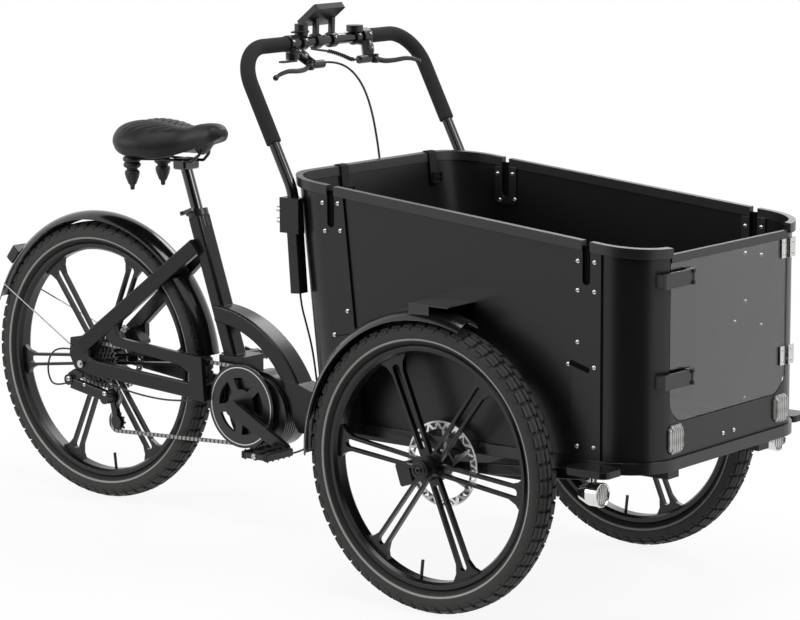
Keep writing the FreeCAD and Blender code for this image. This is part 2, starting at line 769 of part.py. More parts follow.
# Front wheels, the right one built and the left one mirrored
hub = casting(FRONT_R, -FRONT_TURN, (-FRONT_HUB_OUT, FRONT_HUB_IN), FRONT_AXLE_R)
cap = disc(0, 0, HUB_CAP_R, -FRONT_HUB_OUT - HUB_CAP_LONG, -FRONT_HUB_OUT)
hub = [hub[0].fuse(cap).removeSplitter(), hub[1]]
disk = rotor(FRONT_ROTOR_R, HUB_R + TOUCH)
disk.translate(V(0, FRONT_ROTOR_IN - ROTOR_THICK, 0))
for label, shapes in (("wheel", hub), ("tire", [tire(FRONT_R)]), ("rotor", [disk])):
    for s in shapes:
        s.translate(V(0, -HALF_TRACK, 0))
    save("front_" + label + "_right", shapes, FRONT_AT)
    save("front_" + label + "_left", [mirror(s) for s in shapes], FRONT_AT)


# Seat tube, arched tube, steering beam, head tube and motor bracket, welded into one frame
def seat_at(up):
    return CRANK_AT + V(SEAT_FOOT[0] - up * SEAT_LEAN_SHARE, 0, SEAT_FOOT[1] + up)


def arc_of(points):
    return Part.Arc(*[V(x, -ARCH_HALF, z) for x, z in flat(points, CRANK_AT)]).toShape()


motor_x, motor_z = BB_X + MOTOR_AT[0], BB_Z + MOTOR_AT[1]
tube_top = seat_at(SEAT_TUBE_TALL)
seat_up = (tube_top - seat_at(0)).normalize()
collar_top = tube_top + seat_up * (CLAMP_LONG + TOUCH)
tube = bar(seat_at(0), tube_top, SEAT_TUBE_W, SEAT_TUBE_D, SEAT_TUBE_ROUND)
collar = cyl(tube_top - seat_up * COLLAR_SINK, collar_top, COLLAR_R)
top, low = arc_of(ARCH_TOP), arc_of(ARCH_LOW)
ends = [Part.makeLine(top.Vertexes[-1].Point, low.Vertexes[0].Point),
        Part.makeLine(low.Vertexes[-1].Point, top.Vertexes[0].Point)]
arch = Part.Face(Part.Wire([top, ends[0], low, ends[1]])).extrude(V(0, ARCH_HALF + ARCH_HALF, 0))
arch = arch.makeFillet(ARCH_EDGE, [e for e in arch.Edges if e.Curve.TypeId == "Part::GeomCircle"])
beam_top = FRONT_R - BEAM_TOP_DROP
beam_rear = BB_X + BEAM_REAR_TOP[-1][0]
beam_xs = (beam_rear + (STEER_X - beam_rear) * BEAM_LEVEL_SHARE, STEER_X - BEAM_END_BACK)
level = [(beam_xs[0], beam_top), (beam_xs[1], beam_top), (beam_xs[1], beam_top - BEAM_TALL),
         (beam_xs[0], beam_top - BEAM_TALL)]
beam = side(flat(BEAM_REAR_TOP, CRANK_AT) + level + flat(BEAM_REAR_LOW, CRANK_AT), -BEAM_HALF, BEAM_HALF)
head_high = FRONT_R + HEAD_TOP_UP
head_low = head_high - HEAD_TALL
head = cyl(V(STEER_X, 0, head_low), V(STEER_X, 0, head_high), HEAD_R)
bracket = box(BB_X - BRACKET_BACK, BB_X - BRACKET_FRONT, -BRACKET_HALF, BRACKET_HALF,
              BB_Z - BRACKET_DROP, BB_Z + BRACKET_UP)
cradle = disc(motor_x, motor_z, MOTOR_R + CRADLE_T, -CRADLE_HALF, CRADLE_HALF)
cradle = cradle.cut(box(BB_X - BRACKET_BACK, STEER_X, -FAR, FAR, 0, motor_z + CRADLE_HALF))
main = joined([tube, collar, arch, beam, head, bracket, cradle])
main = main.cut(disc(motor_x, motor_z, MOTOR_R + GAP, -FAR, FAR))
main = main.cut(cyl(collar_top - seat_up * BORE_DEEP, collar_top + seat_up * BORE_DEEP, POST_R + RUN))
main = main.cut(cyl(V(STEER_X, 0, 0), V(STEER_X, 0, FAR), HEAD_BORE))
save("main_frame", main)
rings = []
for z0 in (head_low - BEARING_T, head_high - BEARING_T):
    ring = cyl(V(STEER_X, 0, z0), V(STEER_X, 0, z0 + BEARING_T + BEARING_T), HEAD_BORE - TOUCH)
    rings.append(ring.cut(cyl(V(STEER_X, 0, 0), V(STEER_X, 0, FAR), KING_R + RUN)))
save("head_bearings", rings)

# Stays and dropouts on both sides, the raised stay outside the chain on the right
halves = []
tube_core = joined([tube, cyl(tube_top - seat_up * COLLAR_SINK, tube_top, COLLAR_R)])
for s in (-1, 1):
    parts = [bar(at(STAY_LOW, REAR_AT, s), at(STAY_HIGH_FRONT, CRANK_AT, s), STAY_W, STAY_H, STAY_ROUND)]
    parts.append(side(flat(DROPOUT, REAR_AT), *ordered(DROPOUT_IN, DROPOUT_IN + DROPOUT_T, s)))
    front = LOW_STAY_RIGHT_FRONT if s < 0 else LOW_STAY_LEFT_FRONT
    parts.append(bar(at(LOW_STAY_REAR, REAR_AT, s), at(front, CRANK_AT, s), LOW_STAY_W, LOW_STAY_H,
                     STAY_ROUND))
    if s < 0:
        outline = flat(RAISED_REAR, REAR_AT) + flat(RAISED_FRONT, CRANK_AT)
        parts.append(side(outline, -RAISED_IN - RAISED_T, -RAISED_IN))
        x0, z0 = BB_X - CROSS_BACK, BB_Z + CROSS_UP
        parts.append(box(x0, x0 + CROSS_LONG, -CROSS_OUT, -CROSS_IN, z0, z0 + CROSS_TALL))
        parts.append(box(x0 + CROSS_LONG * HALF, BB_X - CROSS_BAR_FRONT,
                         -CROSS_BAR_IN - CROSS_BAR_W, -CROSS_BAR_IN,
                         z0 + CROSS_BAR_EDGE, z0 + CROSS_TALL - CROSS_BAR_EDGE))
    half = joined(parts).cut(main).cut(disc(0, REAR_R, REAR_AXLE_R + RUN, -FAR, FAR))
    halves.append(largest(half.cut(tube_core)))
save("rear_triangle", halves)
stays = Part.makeCompound(halves)

# Rear axle with its nuts
nut_in = DROPOUT_IN + DROPOUT_T
axle_half = nut_in + REAR_NUT_OVER
axle = [disc(0, 0, REAR_AXLE_R, -axle_half, axle_half)]
for s in (-1, 1):
    axle.append(disc(0, 0, REAR_NUT_R, *ordered(nut_in + TOUCH, nut_in + REAR_NUT_T, s)))
save("rear_axle", joined(axle), REAR_AT)


# Fender: thin shell with a round crown, turned through its arc, or the solid below it
def fender(crown, edge, half, angles, solid):
    top = [V(edge, -half, 0), V(crown, 0, 0), V(edge, half, 0)]
    low = [V(edge, half - FENDER_T, 0), V(crown - FENDER_T, 0, 0), V(edge, FENDER_T - half, 0)]
    e = [Part.Arc(*top).toShape()]
    if solid:
        corner = [top[2], V(0, half, 0), V(0, -half, 0), top[0]]
        e += [Part.makeLine(a, b) for a, b in zip(corner, corner[1:])]
    else:
        e += [Part.makeLine(top[2], low[0]), Part.Arc(*low).toShape(), Part.makeLine(low[2], top[0])]
    face = Part.Face(Part.Wire(e))
    face.rotate(V(0, 0, 0), V(0, -1, 0), angles[0])
    return face.revolve(V(0, 0, 0), V(0, -1, 0), angles[1] - angles[0])


crown, edge = REAR_R + REAR_FENDER_CROWN_UP, REAR_R + REAR_FENDER_EDGE_UP
guard = fender(crown, edge, REAR_FENDER_HALF, REAR_FENDER_ANGLES, False)
guard.translate(REAR_AT)
guard = largest(guard.cut(main).cut(stays))
wire_a = math.radians(WIRE_ANGLE)
wire_end = REAR_AT + V(math.cos(wire_a), 0, math.sin(wire_a)) * (edge + WIRE_R)
wire_end = wire_end - V(0, REAR_FENDER_HALF + WIRE_R + TOUCH, 0)
save("rear_fender", [guard] + both(cyl(at(WIRE_LOW, REAR_AT, -1), wire_end, WIRE_R)))
lamp = box(0, LIGHT_DEEP, -LIGHT_HALF_Y, LIGHT_HALF_Y, -LIGHT_LONG * HALF, LIGHT_LONG * HALF)
lamp = lamp.makeFillet(LIGHT_ROUND, [e for e in lamp.Edges if min(v.X for v in e.Vertexes) > 0])
lamp.translate(V(crown - LIGHT_ROUND * HALF, 0, 0))
lamp.rotate(V(0, 0, 0), V(0, -1, 0), LIGHT_ANGLE)
save("tail_light", lamp.cut(fender(crown, edge, REAR_FENDER_HALF, REAR_FENDER_ANGLES, True)), REAR_AT)

# Mid motor: ribbed round housing with a side cover and the spindle bore
motor = disc(motor_x, motor_z, MOTOR_R, -MOTOR_HALF, MOTOR_HALF)
for i in range(MOTOR_RIBS):
    y0 = MOTOR_RIB_IN - MOTOR_HALF + i * MOTOR_RIB_STEP
    groove = disc(motor_x, motor_z, MOTOR_R + CRADLE_T, y0, y0 + MOTOR_RIB_CUT)
    motor = motor.cut(groove.cut(disc(motor_x, motor_z, MOTOR_R - MOTOR_RIB_DEPTH, -MOTOR_R, MOTOR_R)))
motor = motor.fuse(disc(motor_x, motor_z, MOTOR_COVER_R, MOTOR_HALF - TOUCH, MOTOR_HALF + MOTOR_COVER_T))
motor = motor.cut(disc(BB_X, BB_Z, SPINDLE_R + RUN, -FAR, FAR))
motor = motor.cut(disc(BB_X, BB_Z, CRANK_BOSS_R + GAP, MOTOR_HALF, MOTOR_R)).removeSplitter()
save("motor_housing", motor)

# Cranks on one spindle, with the pedal spindles
ca = math.radians(CRANK_ANGLE)
tip = V(math.cos(ca), 0, math.sin(ca)) * CRANK_LONG
n = V(-math.sin(ca), 0, math.cos(ca))
crank_in = CRANK_OUT - CRANK_T
pedal_in = CRANK_OUT + PEDAL_CLEAR
pedal_out = pedal_in + PEDAL_LONG
loop = [n * -CRANK_ROOT_HALF, tip - n * CRANK_TIP_HALF, tip + n * CRANK_TIP_HALF, n * CRANK_ROOT_HALF]
arm = [side([(p.x, p.z) for p in loop], -CRANK_OUT, -crank_in),
       disc(0, 0, CRANK_BOSS_R, -CRANK_OUT, -CRANK_BOSS_IN),
       disc(tip.x, tip.z, CRANK_TIP_HALF, -CRANK_OUT, -crank_in),
       disc(tip.x, tip.z, PEDAL_AXLE_R, -pedal_out, -crank_in)]
arm = joined(arm)
other = mirror(arm)
other.rotate(V(0, 0, 0), V(0, 1, 0), FULL_TURN * HALF)
save("crankset", joined([arm, other, disc(0, 0, SPINDLE_R, -CRANK_OUT, CRANK_OUT)]), CRANK_AT)

# Chainring with spider and guard ring
guard_y = (CHAIN_Y - GUARD_OUT - GUARD_T, CHAIN_Y - GUARD_OUT)
ring = toothed(RING_TEETH, RING_T, RING_INNER_R)
ring.translate(V(0, CHAIN_Y - RING_T * HALF, 0))
cover = disc(0, 0, pitch_r(RING_TEETH) + GUARD_OVER, *guard_y)
cover = cover.cut(disc(0, 0, RING_INNER_R, guard_y[0] - RING_T, guard_y[1] + RING_T))
parts = [ring, cover, disc(0, 0, CRANK_BOSS_R + SPIDER_ARM_W, *guard_y)]
for i in range(SPIDER_ARMS):
    w = SPIDER_ARM_W * HALF
    one = box(CRANK_BOSS_R, SPIDER_R, guard_y[0], guard_y[1], -w, w)
    bolt = disc(SPIDER_R, 0, RING_BOLT_R, guard_y[0], CHAIN_Y + RING_T * HALF)
    for s in (one, bolt):
        s.rotate(V(0, 0, 0), V(0, -1, 0), CRANK_ANGLE + FULL_TURN * i / SPIDER_ARMS)
        parts.append(s)
save("chainring", joined(parts).cut(disc(0, 0, CRANK_BOSS_R + TOUCH, -FAR, FAR)), CRANK_AT)

# Pedals: core tube, two rails and end plates
pl = box(-PEDAL_HALF_X, PEDAL_HALF_X, -pedal_out, -pedal_in, -PEDAL_HALF_Z, PEDAL_HALF_Z)
inner = PEDAL_HALF_X - PEDAL_RAIL
y0, y1 = PEDAL_END - pedal_out, -pedal_in - PEDAL_END
pl = pl.cut(box(-inner, -PEDAL_CORE_R, y0, y1, -FAR, FAR))
pl = pl.cut(box(PEDAL_CORE_R, inner, y0, y1, -FAR, FAR))
pl = pl.cut(disc(0, 0, PEDAL_AXLE_R + RUN, -FAR, FAR))
for name, s in (("pedal_right", 1), ("pedal_left", -1)):
    save(name, pl if s > 0 else mirror(pl), CRANK_AT + tip * s)

# Chain: two plate loops with rollers on the straight runs only
guide = V(GUIDE_AT[0], 0, REAR_R + GUIDE_AT[1])
tension = V(TENSION_AT[0], 0, REAR_R + TENSION_AT[1])
wheels = [(0, REAR_R, pitch_r(SPROCKETS[DRIVEN]), 1), (BB_X, BB_Z, pitch_r(RING_TEETH), 1),
          (tension.x, tension.z, pitch_r(PULLEY_TEETH), 1), (guide.x, guide.z, pitch_r(PULLEY_TEETH), -1)]


def runs(off):
    out = []
    for i, (x1, z1, r1, s1) in enumerate(wheels):
        x2, z2, r2, s2 = wheels[(i + 1) % len(wheels)]
        far = math.hypot(x2 - x1, z2 - z1)
        head_angle = math.atan2(z2 - z1, x2 - x1) - math.asin((s1 * r1 - s2 * r2) / far)
        out_x, out_z = -math.sin(head_angle), math.cos(head_angle)
        a = V(x1 + (s1 * r1 + off) * out_x, 0, z1 + (s1 * r1 + off) * out_z)
        b = V(x2 + (s2 * r2 + off) * out_x, 0, z2 + (s2 * r2 + off) * out_z)
        out.append((a, b))
    return out


def belt(off):
    edges = []
    legs = runs(off)
    for i, (a, b) in enumerate(legs):
        edges.append(Part.makeLine(a, b))
        x, z, r, s = wheels[(i + 1) % len(wheels)]
        nxt = legs[(i + 1) % len(legs)][0]
        c = V(x, 0, z)
        t0, t1 = math.atan2(b.z - z, b.x - x), math.atan2(nxt.z - z, nxt.x - x)
        while s > 0 and t1 > t0:
            t1 -= 2 * math.pi
        while s < 0 and t1 < t0:
            t1 += 2 * math.pi
        tm, q = (t0 + t1) * HALF, (b - c).Length
        edges.append(Part.Arc(b, c + V(math.cos(tm), 0, math.sin(tm)) * q, nxt).toShape())
    return Part.Wire(edges)


def tooth_reach(r):
    return math.sqrt((r + TOOTH + ROLLER_R + ROLLER_CLEAR) ** 2 - r ** 2)


loop = Part.Face(belt(LINK_HALF)).cut(Part.Face(belt(-LINK_HALF))).Faces[0]
parts = []
for y0 in (-PLATE_OUT, PLATE_IN):
    one = loop.extrude(V(0, PLATE_OUT - PLATE_IN, 0))
    one.translate(V(0, CHAIN_Y + y0, 0))
    parts.append(one)
for i, (a, b) in enumerate(runs(0)):
    here = tooth_reach(wheels[i][2])
    stop = (b - a).Length - tooth_reach(wheels[(i + 1) % len(wheels)][2])
    while here < stop:
        p = a + (b - a).normalize() * here
        parts.append(disc(p.x, p.z, ROLLER_R, CHAIN_Y - PLATE_OUT, CHAIN_Y + PLATE_OUT))
        here += PITCH
save("chain", joined(parts))

# Derailleur: hanger, knuckles, link, cage with pulley pins; two toothed pulleys
pulley = toothed(PULLEY_TEETH, PULLEY_T, PULLEY_BORE + RUN)
pulley.translate(V(0, CHAIN_Y - PULLEY_T * HALF, 0))
save("guide_pulley", pulley, guide)
save("tension_pulley", pulley, tension)
hang_y = -DROPOUT_IN - DROPOUT_T - TOUCH
cage_out = CHAIN_Y - CAGE_OUT - CAGE_T
parts = [side(flat(HANGER, REAR_AT), hang_y - HANGER_T, hang_y),
         disc(B_KNUCKLE[0], REAR_R + B_KNUCKLE[1], B_KNUCKLE_R, hang_y - B_KNUCKLE_LONG, hang_y),
         bar(at(LINK_REAR, REAR_AT), at(LINK_FRONT, REAR_AT), LINK_W, LINK_H, STAY_ROUND),
         disc(guide.x, guide.z, P_KNUCKLE_R, CHAIN_Y - P_KNUCKLE_OUT, cage_out + CAGE_T * HALF)]
parts = [joined(parts)]
d = (tension - guide).normalize()
n = V(d.z, 0, -d.x) * (CAGE_R * HALF)
strip = [(p.x, p.z) for p in (guide - n, tension - n, tension + n, guide + n)]
for y0 in (cage_out, CHAIN_Y + CAGE_OUT):
    plate = [disc(p.x, p.z, CAGE_R, y0, y0 + CAGE_T) for p in (guide, tension)]
    parts.append(joined(plate + [side(strip, y0, y0 + CAGE_T)]))
for p in (guide, tension):
    parts.append(disc(p.x, p.z, PULLEY_BORE, cage_out, CHAIN_Y + CAGE_OUT + CAGE_T))
mech = joined(parts)
save("rear_derailleur", mech)


# Brake caliper: block over the rotor edge with a slot for the disc
def caliper(place, y, r):
    a = CALIPER_LONG * HALF
    one = box(-CALIPER_SINK, CALIPER_TALL - CALIPER_SINK, -CALIPER_HALF_Y, CALIPER_HALF_Y, -a, a)
    one = one.makeFillet(CALIPER_ROUND, upright(one, 1, TOUCH))
    one = one.cut(box(-FAR, CALIPER_SLOT, -CALIPER_SLOT_HALF, CALIPER_SLOT_HALF, -FAR, FAR))
    one.translate(V(r, 0, 0))
    one.rotate(V(0, 0, 0), V(0, -1, 0), math.degrees(math.atan2(place[1], place[0])))
    one.translate(V(0, y, 0))
    return one


brake = caliper(REAR_CALIPER_AT, REAR_ROTOR_Y + ROTOR_THICK * HALF, REAR_ROTOR_R)
x0, z0 = REAR_CALIPER_AT
brake = brake.fuse(box(x0 - CALIPER_ARM_HALF, x0 + CALIPER_ARM_HALF,
                       REAR_ROTOR_Y + CALIPER_HALF_Y - STAY_ROUND,
                       DROPOUT_IN + STAY_ROUND, z0, z0 + CALIPER_ARM_TALL))
brake.translate(REAR_AT)
save("rear_caliper", largest(brake.cut(stays).removeSplitter()))
front_disc_y = HALF_TRACK - FRONT_ROTOR_IN + ROTOR_THICK * HALF
save("front_calipers", both(caliper(FRONT_CALIPER_AT, -front_disc_y, FRONT_ROTOR_R)), FRONT_AT)

# Seat post with head, clamp ring, quick-release lever
post_top = seat_at(SEAT_TUBE_TALL + POST_RISE)
post = cyl(seat_at(SEAT_TUBE_TALL - POST_SINK), post_top, POST_R)
a, b, c = POST_HEAD_LONG * HALF, POST_HEAD_WIDE * HALF, post_top.z - POST_HEAD_DROP
cap = box(post_top.x - a, post_top.x + a, -b, b, c, c + POST_HEAD_TALL)
cap = cap.makeFillet(POST_HEAD_ROUND, cap.Edges)
rails = [pipe([at(p, post_top, s) for p in RAIL_PATH], RAIL_R) for s in (-1, 1)]
post = post.fuse(cap).removeSplitter().cut(Part.makeCompound(rails))
save("seat_post", largest(post))
low, high = tube_top + seat_up * TOUCH, collar_top
mid = (low + high) * HALF
ring = cyl(low, high, CLAMP_R)
lug = bar(mid - V(LUG_LONG * HALF + CLAMP_R - LUG_SINK, 0, 0), mid, LUG_WIDE, CLAMP_LONG - GAP, EDGE_ROUND)
ring = joined([ring, lug]).cut(cyl(low - seat_up * CLAMP_R, high + seat_up * CLAMP_R, COLLAR_R + TOUCH))
save("seat_clamp", largest(ring))
pin_back = CLAMP_R + LUG_LONG * HALF - LUG_SINK + QR_PIN_R
cam_at = mid - V(pin_back, LUG_WIDE * HALF + GAP + QR_BODY_R, 0)
seat_front = V(seat_up.z, 0, -seat_up.x)
cam = cyl(cam_at - seat_up * (QR_LEVER_W * HALF), cam_at + seat_up * (QR_LEVER_W * HALF), QR_BODY_R)
qr = bar(cam_at, cam_at + seat_front * QR_LEVER_LONG - V(0, QR_LEVER_OUT, 0), QR_LEVER_T, QR_LEVER_W,
         EDGE_ROUND)
save("seat_clamp_lever", joined([cam, qr]))


# Saddle cushion: crowned loft, broad at the back and narrow at the nose; rails and cone elastomers below
def saddle_ring(along, half, low, high):
    x, z = post_top.x - SADDLE_BACK + along * SADDLE_LONG, post_top.z + SADDLE_UP
    low_z, tall = z + low * SADDLE_TALL, (high - low) * SADDLE_TALL
    pts = [V(x, w * half * SADDLE_HALF, low_z + h * tall) for w, h in SADDLE_SECTION_SHARES]
    pts += [V(p.x, -p.y, p.z) for p in reversed(pts[1:-1])]
    curve = Part.BSplineCurve()
    curve.interpolate(pts, PeriodicFlag=True)
    return Part.Wire(curve.toShape())


cushion = Part.makeLoft([saddle_ring(*s) for s in SADDLE_STATION_SHARES], True, False)
cones = []
for s in (-1, 1):
    pts = [V(r, 0, z) for r, z in ELASTOMER]
    cone = Part.Face(Part.makePolygon(pts + pts[:1])).revolve(V(0, 0, 0), V(0, 0, 1), FULL_TURN)
    cone.translate(V(post_top.x + ELASTOMER_AT[0], ELASTOMER_AT[1] * s, post_top.z))
    cones.append(cone)
hold = Part.makeCompound(cones)
rails = [largest(r.cut(cushion).cut(hold)) for r in rails]
save("saddle", cushion)
save("saddle_suspension", rails + [largest(c.cut(cushion)) for c in cones])


# Cargo box: lofted from a plan with round corners, the rear wall leaning back
def rear_x(z):
    return REAR_X + (LEAN_Z - z) * LEAN_SHARE


def rim_z(x):
    return BASE_Z + WALL_TALL - RIM_SLOPE_SHARE * (x - RIM_AT)


def wall_z(x, share):
    return BASE_Z + share * (rim_z(x) - BASE_Z)


wall_top = rim_z(REAR_X) + WALL_OVER
cut_top = wall_top + CUT_OVER
cut_x = (REAR_X - CUT_OVER, FRONT_X + CUT_OVER)


def plan(z, off):
    x0, x1 = rear_x(z) - off, FRONT_X + off
    wire = rounded(x1 - x0, (BOX_HALF + off) * 2, CORNER_R + off)
    wire.translate(V((x0 + x1) * HALF, 0, z))
    return wire


def hull(off):
    return Part.makeLoft([plan(BASE_Z, off), plan(wall_top, off)], True, True)


def over(up):
    x0, x1 = cut_x
    return side(((x0, rim_z(x0) + up), (x1, rim_z(x1) + up), (x1, cut_top), (x0, cut_top)), -FAR, FAR)


def lean(x, z):
    return x + (LEAN_Z - z) * JOINT_LEAN_SHARE


def slab(rear, front, rear_leans, front_leans):
    z0, z1 = BASE_Z - FLOOR_DROP, cut_top
    pts = [(lean(rear, z) if rear_leans else rear, z) for z in (z1, z0)]
    pts += [(lean(front, z) if front_leans else front, z) for z in (z0, z1)]
    return side(pts, -FAR, FAR)


hulls = {off: hull(off) for off in (-PANEL_T - SLOT_PLATE_T, -PANEL_T, 0, PANEL_T, RIM_OUT, -RIM_OUT)}
inner_skin = hulls[0].cut(hulls[-PANEL_T]).cut(over(0))
outer_skin = hulls[PANEL_T].cut(hulls[0]).cut(over(0))
front_out = FRONT_X - CORNER_R
front_in = front_out - JOINT_WIDE
rear_in = REAR_X + CORNER_R + JOINT_REAR_IN
rear_out = rear_in + JOINT_WIDE
slots = []
slot_places = [(x, rim_z(x) - SLOT_DEEP) for x in (FRONT_X - SLOT_FRONT_BACK, REAR_X + SLOT_REAR_AHEAD)]
for x, z in slot_places:
    slots.append(box(x - SLOT_HALF, x + SLOT_HALF, -FAR, FAR, z, cut_top))
    slots.append(disc(x, z, SLOT_HALF, -FAR, FAR))
slots = Part.makeCompound(joined(slots).Solids)
door_low, door_top = BASE_Z + DOOR_SILL, rim_z(FRONT_X) - DOOR_TOP_DROP
wide = DOOR_HALF + DOOR_GAP
door_hole = box(front_out, FRONT_X + CORNER_R, -wide, wide, door_low - DOOR_GAP, cut_top)
low_edges = [e for e in upright(door_hole, 0, TOUCH) if e.Vertexes[0].Z < door_top]
door_hole = door_hole.makeFillet(DOOR_ROUND + DOOR_GAP, low_edges)
rear_shell = joined([inner_skin.common(slab(cut_x[0], rear_in, False, True)),
                     outer_skin.common(slab(rear_in - JOINT_BITE, rear_out, True, True))])
front_shell = inner_skin.common(slab(front_in + SEAM, cut_x[1], False, False)).cut(door_hole)
sides = joined([inner_skin.common(slab(rear_in + SEAM, front_in, True, False)),
                outer_skin.common(slab(front_in - JOINT_BITE, front_out, False, False))])
rear_shell, front_shell, sides = [s.cut(slots) for s in (rear_shell, front_shell, sides)]
save("box_rear", rear_shell, FRONT_AT)
save("box_front", front_shell, FRONT_AT)
save("box_sides", sides, FRONT_AT)
panels = Part.makeCompound(rear_shell.Solids + front_shell.Solids + sides.Solids)
rim = hulls[RIM_OUT].cut(hulls[-RIM_OUT]).cut(over(RIM_OVER))
rim = rim.common(over(-RIM_DROP)).cut(panels).cut(slots).cut(door_hole)
rim = rim.cut(hulls[0].cut(hulls[-PANEL_T]).cut(over(0))).cut(door_hole)
backs = hulls[-PANEL_T].cut(hulls[-PANEL_T - SLOT_PLATE_T])
plates = []
for x, z in slot_places:
    zone = box(x - SLOT_PLATE_HALF, x + SLOT_PLATE_HALF, -FAR, FAR, z - SLOT_PLATE_DOWN,
               rim_z(x) - RIM_DROP - GAP)
    plates += backs.common(zone).cut(slots).Solids
strip_least = RIM_DROP * RIM_DROP * RIM_OUT
save("rim_trim", [s for s in rim.Solids if s.Volume > strip_least] + plates, FRONT_AT)
floor = Part.Face(plan(BASE_Z, FLOOR_OUT)).extrude(V(0, 0, -FLOOR_T))
floor.translate(V(0, 0, -FLOOR_DROP))
board = Part.Face(plan(BASE_Z, -PANEL_T - BOARD_CLEAR)).extrude(V(0, 0, BOARD_T))
board.translate(V(0, 0, -FLOOR_DROP))
x0, z0 = rear_x(BASE_Z) + BATTERY_BACK, BASE_Z - FLOOR_DROP + TOUCH
case = box(x0, x0 + BATTERY_LONG, -BATTERY_HALF, BATTERY_HALF, z0, z0 + BATTERY_TALL)
well = BATTERY_HALF + GAP
well = box(x0 - GAP, x0 + BATTERY_LONG + GAP, -well, well, z0 - FLOOR_T, z0 + BATTERY_TALL)
floor = floor.fuse(board.cut(well)).removeSplitter()
save("box_floor", floor, FRONT_AT)
spots = []
for off, shares in zip(FRONT_SCREW_XS, FRONT_SCREW_SHARES):
    spots += [(front_out + off, wall_z(front_out, share), PANEL_T) for share in shares]
for off, shares in zip(REAR_SCREW_XS, REAR_SCREW_SHARES):
    spots += [(lean(rear_in + off, wall_z(rear_in, share)), wall_z(rear_in, share), PANEL_T)
              for share in shares]
spots.append((FRONT_X - INNER_SCREW_BACK, wall_z(front_in, INNER_SCREW_SHARE), 0))
heads = []
for s in (-1, 1):
    for x, z, lift in spots:
        y = (BOX_HALF + lift + TOUCH) * s
        heads.append(Part.makeCylinder(SCREW_R, SCREW_T, V(x, y, z), V(0, s, 0)))
    spot = V(FRONT_X + TOUCH, STRIP_SCREW_Y * s, BASE_Z + STRIP_SCREW_UP)
    heads.append(Part.makeCylinder(SCREW_R, SCREW_T, spot, V(1, 0, 0)))
save("box_screws", heads, FRONT_AT)
tops = [e for e in case.Edges if max(v.Z for v in e.Vertexes) > z0 + BATTERY_ROUND]
save("battery_case", case.makeFillet(BATTERY_ROUND, tops), FRONT_AT)

# Front door: clear sheet, top edging with hinge leaves and latch feet
face_x = FRONT_X - DOOR_BACK
door_tall = door_top - door_low
sheet = box(face_x - SHEET_T, face_x, -DOOR_HALF, DOOR_HALF, door_low, door_top)
low_edges = [e for e in upright(sheet, 0, TOUCH) if e.Vertexes[0].Z < door_top]
sheet = sheet.makeFillet(DOOR_ROUND, low_edges)
save("door_sheet", sheet, FRONT_AT)
mid_x = face_x - SHEET_T * HALF
edging = box(mid_x - EDGING_T * HALF, mid_x + EDGING_T * HALF, -DOOR_HALF, DOOR_HALF,
             door_top - EDGING_LAP, door_top + EDGING_TALL - EDGING_LAP)
moving, fixed = [edging.cut(sheet)], []
ax, ay = FRONT_X + HINGE_OUT, DOOR_HALF + HINGE_OVER
for share in HINGE_SHARES:
    z = door_low + share * door_tall
    z0, z1 = z - HINGE_HALF, z + HINGE_HALF
    m0, m1 = z - HINGE_MID, z + HINGE_MID
    leaf = [box(face_x + TOUCH, face_x + LEAF_T, ay - LEAF_LONG, ay - LEAF_CLEAR, z0, z1),
            box(face_x + TOUCH, face_x + LEAF_T, ay - LEAF_LONG, ay, m0, m1),
            cyl(V(ax, ay, m0), V(ax, ay, m1), HINGE_R)]
    moving.append(joined(leaf).cut(cyl(V(ax, ay, z0), V(ax, ay, z1), HINGE_PIN_R + RUN)))
    leaf = [box(FRONT_X + TOUCH, FRONT_X + LEAF_T, ay + LEAF_CLEAR, ay + LEAF_LONG, z0, z1)]
    for a, b in ((z0, m0 - GAP), (m1 + GAP, z1)):
        leaf.append(box(FRONT_X + TOUCH, FRONT_X + LEAF_T, ay, ay + LEAF_LONG, a, b))
        leaf.append(cyl(V(ax, ay, a), V(ax, ay, b), HINGE_R))
    leaf.append(cyl(V(ax, ay, z0), V(ax, ay, z1), HINGE_PIN_R))
    fixed.append(joined(leaf))
ax, ay = FRONT_X + LATCH_OUT, LATCH_IN - DOOR_HALF
keep_y = -DOOR_HALF - KEEPER_OVER
for name, share in zip(("latch_upper", "latch_lower"), LATCH_SHARES):
    z = door_low + share * door_tall
    z0, z1 = z - LATCH_HALF, z + LATCH_HALF
    m0, m1 = z - LATCH_MID, z + LATCH_MID
    foot = [box(face_x + TOUCH, ax - LATCH_BACK - GAP, ay - LATCH_EAR_R, ay + LATCH_HALF, z0, z1)]
    foot += [cyl(V(ax, ay, a), V(ax, ay, b), LATCH_EAR_R) for a, b in ((z0, m0 - GAP), (m1 + GAP, z1))]
    room = cyl(V(ax, ay, m0 - GAP), V(ax, ay, m1 + GAP), LATCH_KNUCKLE_R + GAP)
    pin = cyl(V(ax, ay, z0), V(ax, ay, z1), LATCH_PIN_R)
    moving.append(joined(foot).cut(room).fuse(pin).removeSplitter())
    back, front = ax - LATCH_BACK, ax + LATCH_FRONT
    tongue = [cyl(V(ax, ay, m0), V(ax, ay, m1), LATCH_KNUCKLE_R),
              box(back, front, ay - LATCH_START - LATCH_TAB, ay, m0, m1),
              box(back, front, ay - LATCH_LONG, ay - LATCH_START, z0, z1)]
    save(name, joined(tongue).cut(cyl(V(ax, ay, z0), V(ax, ay, z1), LATCH_PIN_R + RUN)), FRONT_AT)
    keep = box(FRONT_X - KEEPER_IN, FRONT_X + KEEPER_OUT, keep_y - KEEPER_LONG, keep_y,
               z - KEEPER_HALF, z + KEEPER_HALF)
    fixed.append(largest(keep.cut(hulls[0])))
save("door_hardware", moving, FRONT_AT)
save("door_fittings", fixed, FRONT_AT)
prisms = []
half, cut = REFLECTOR_HALF, REFLECTOR_CUT
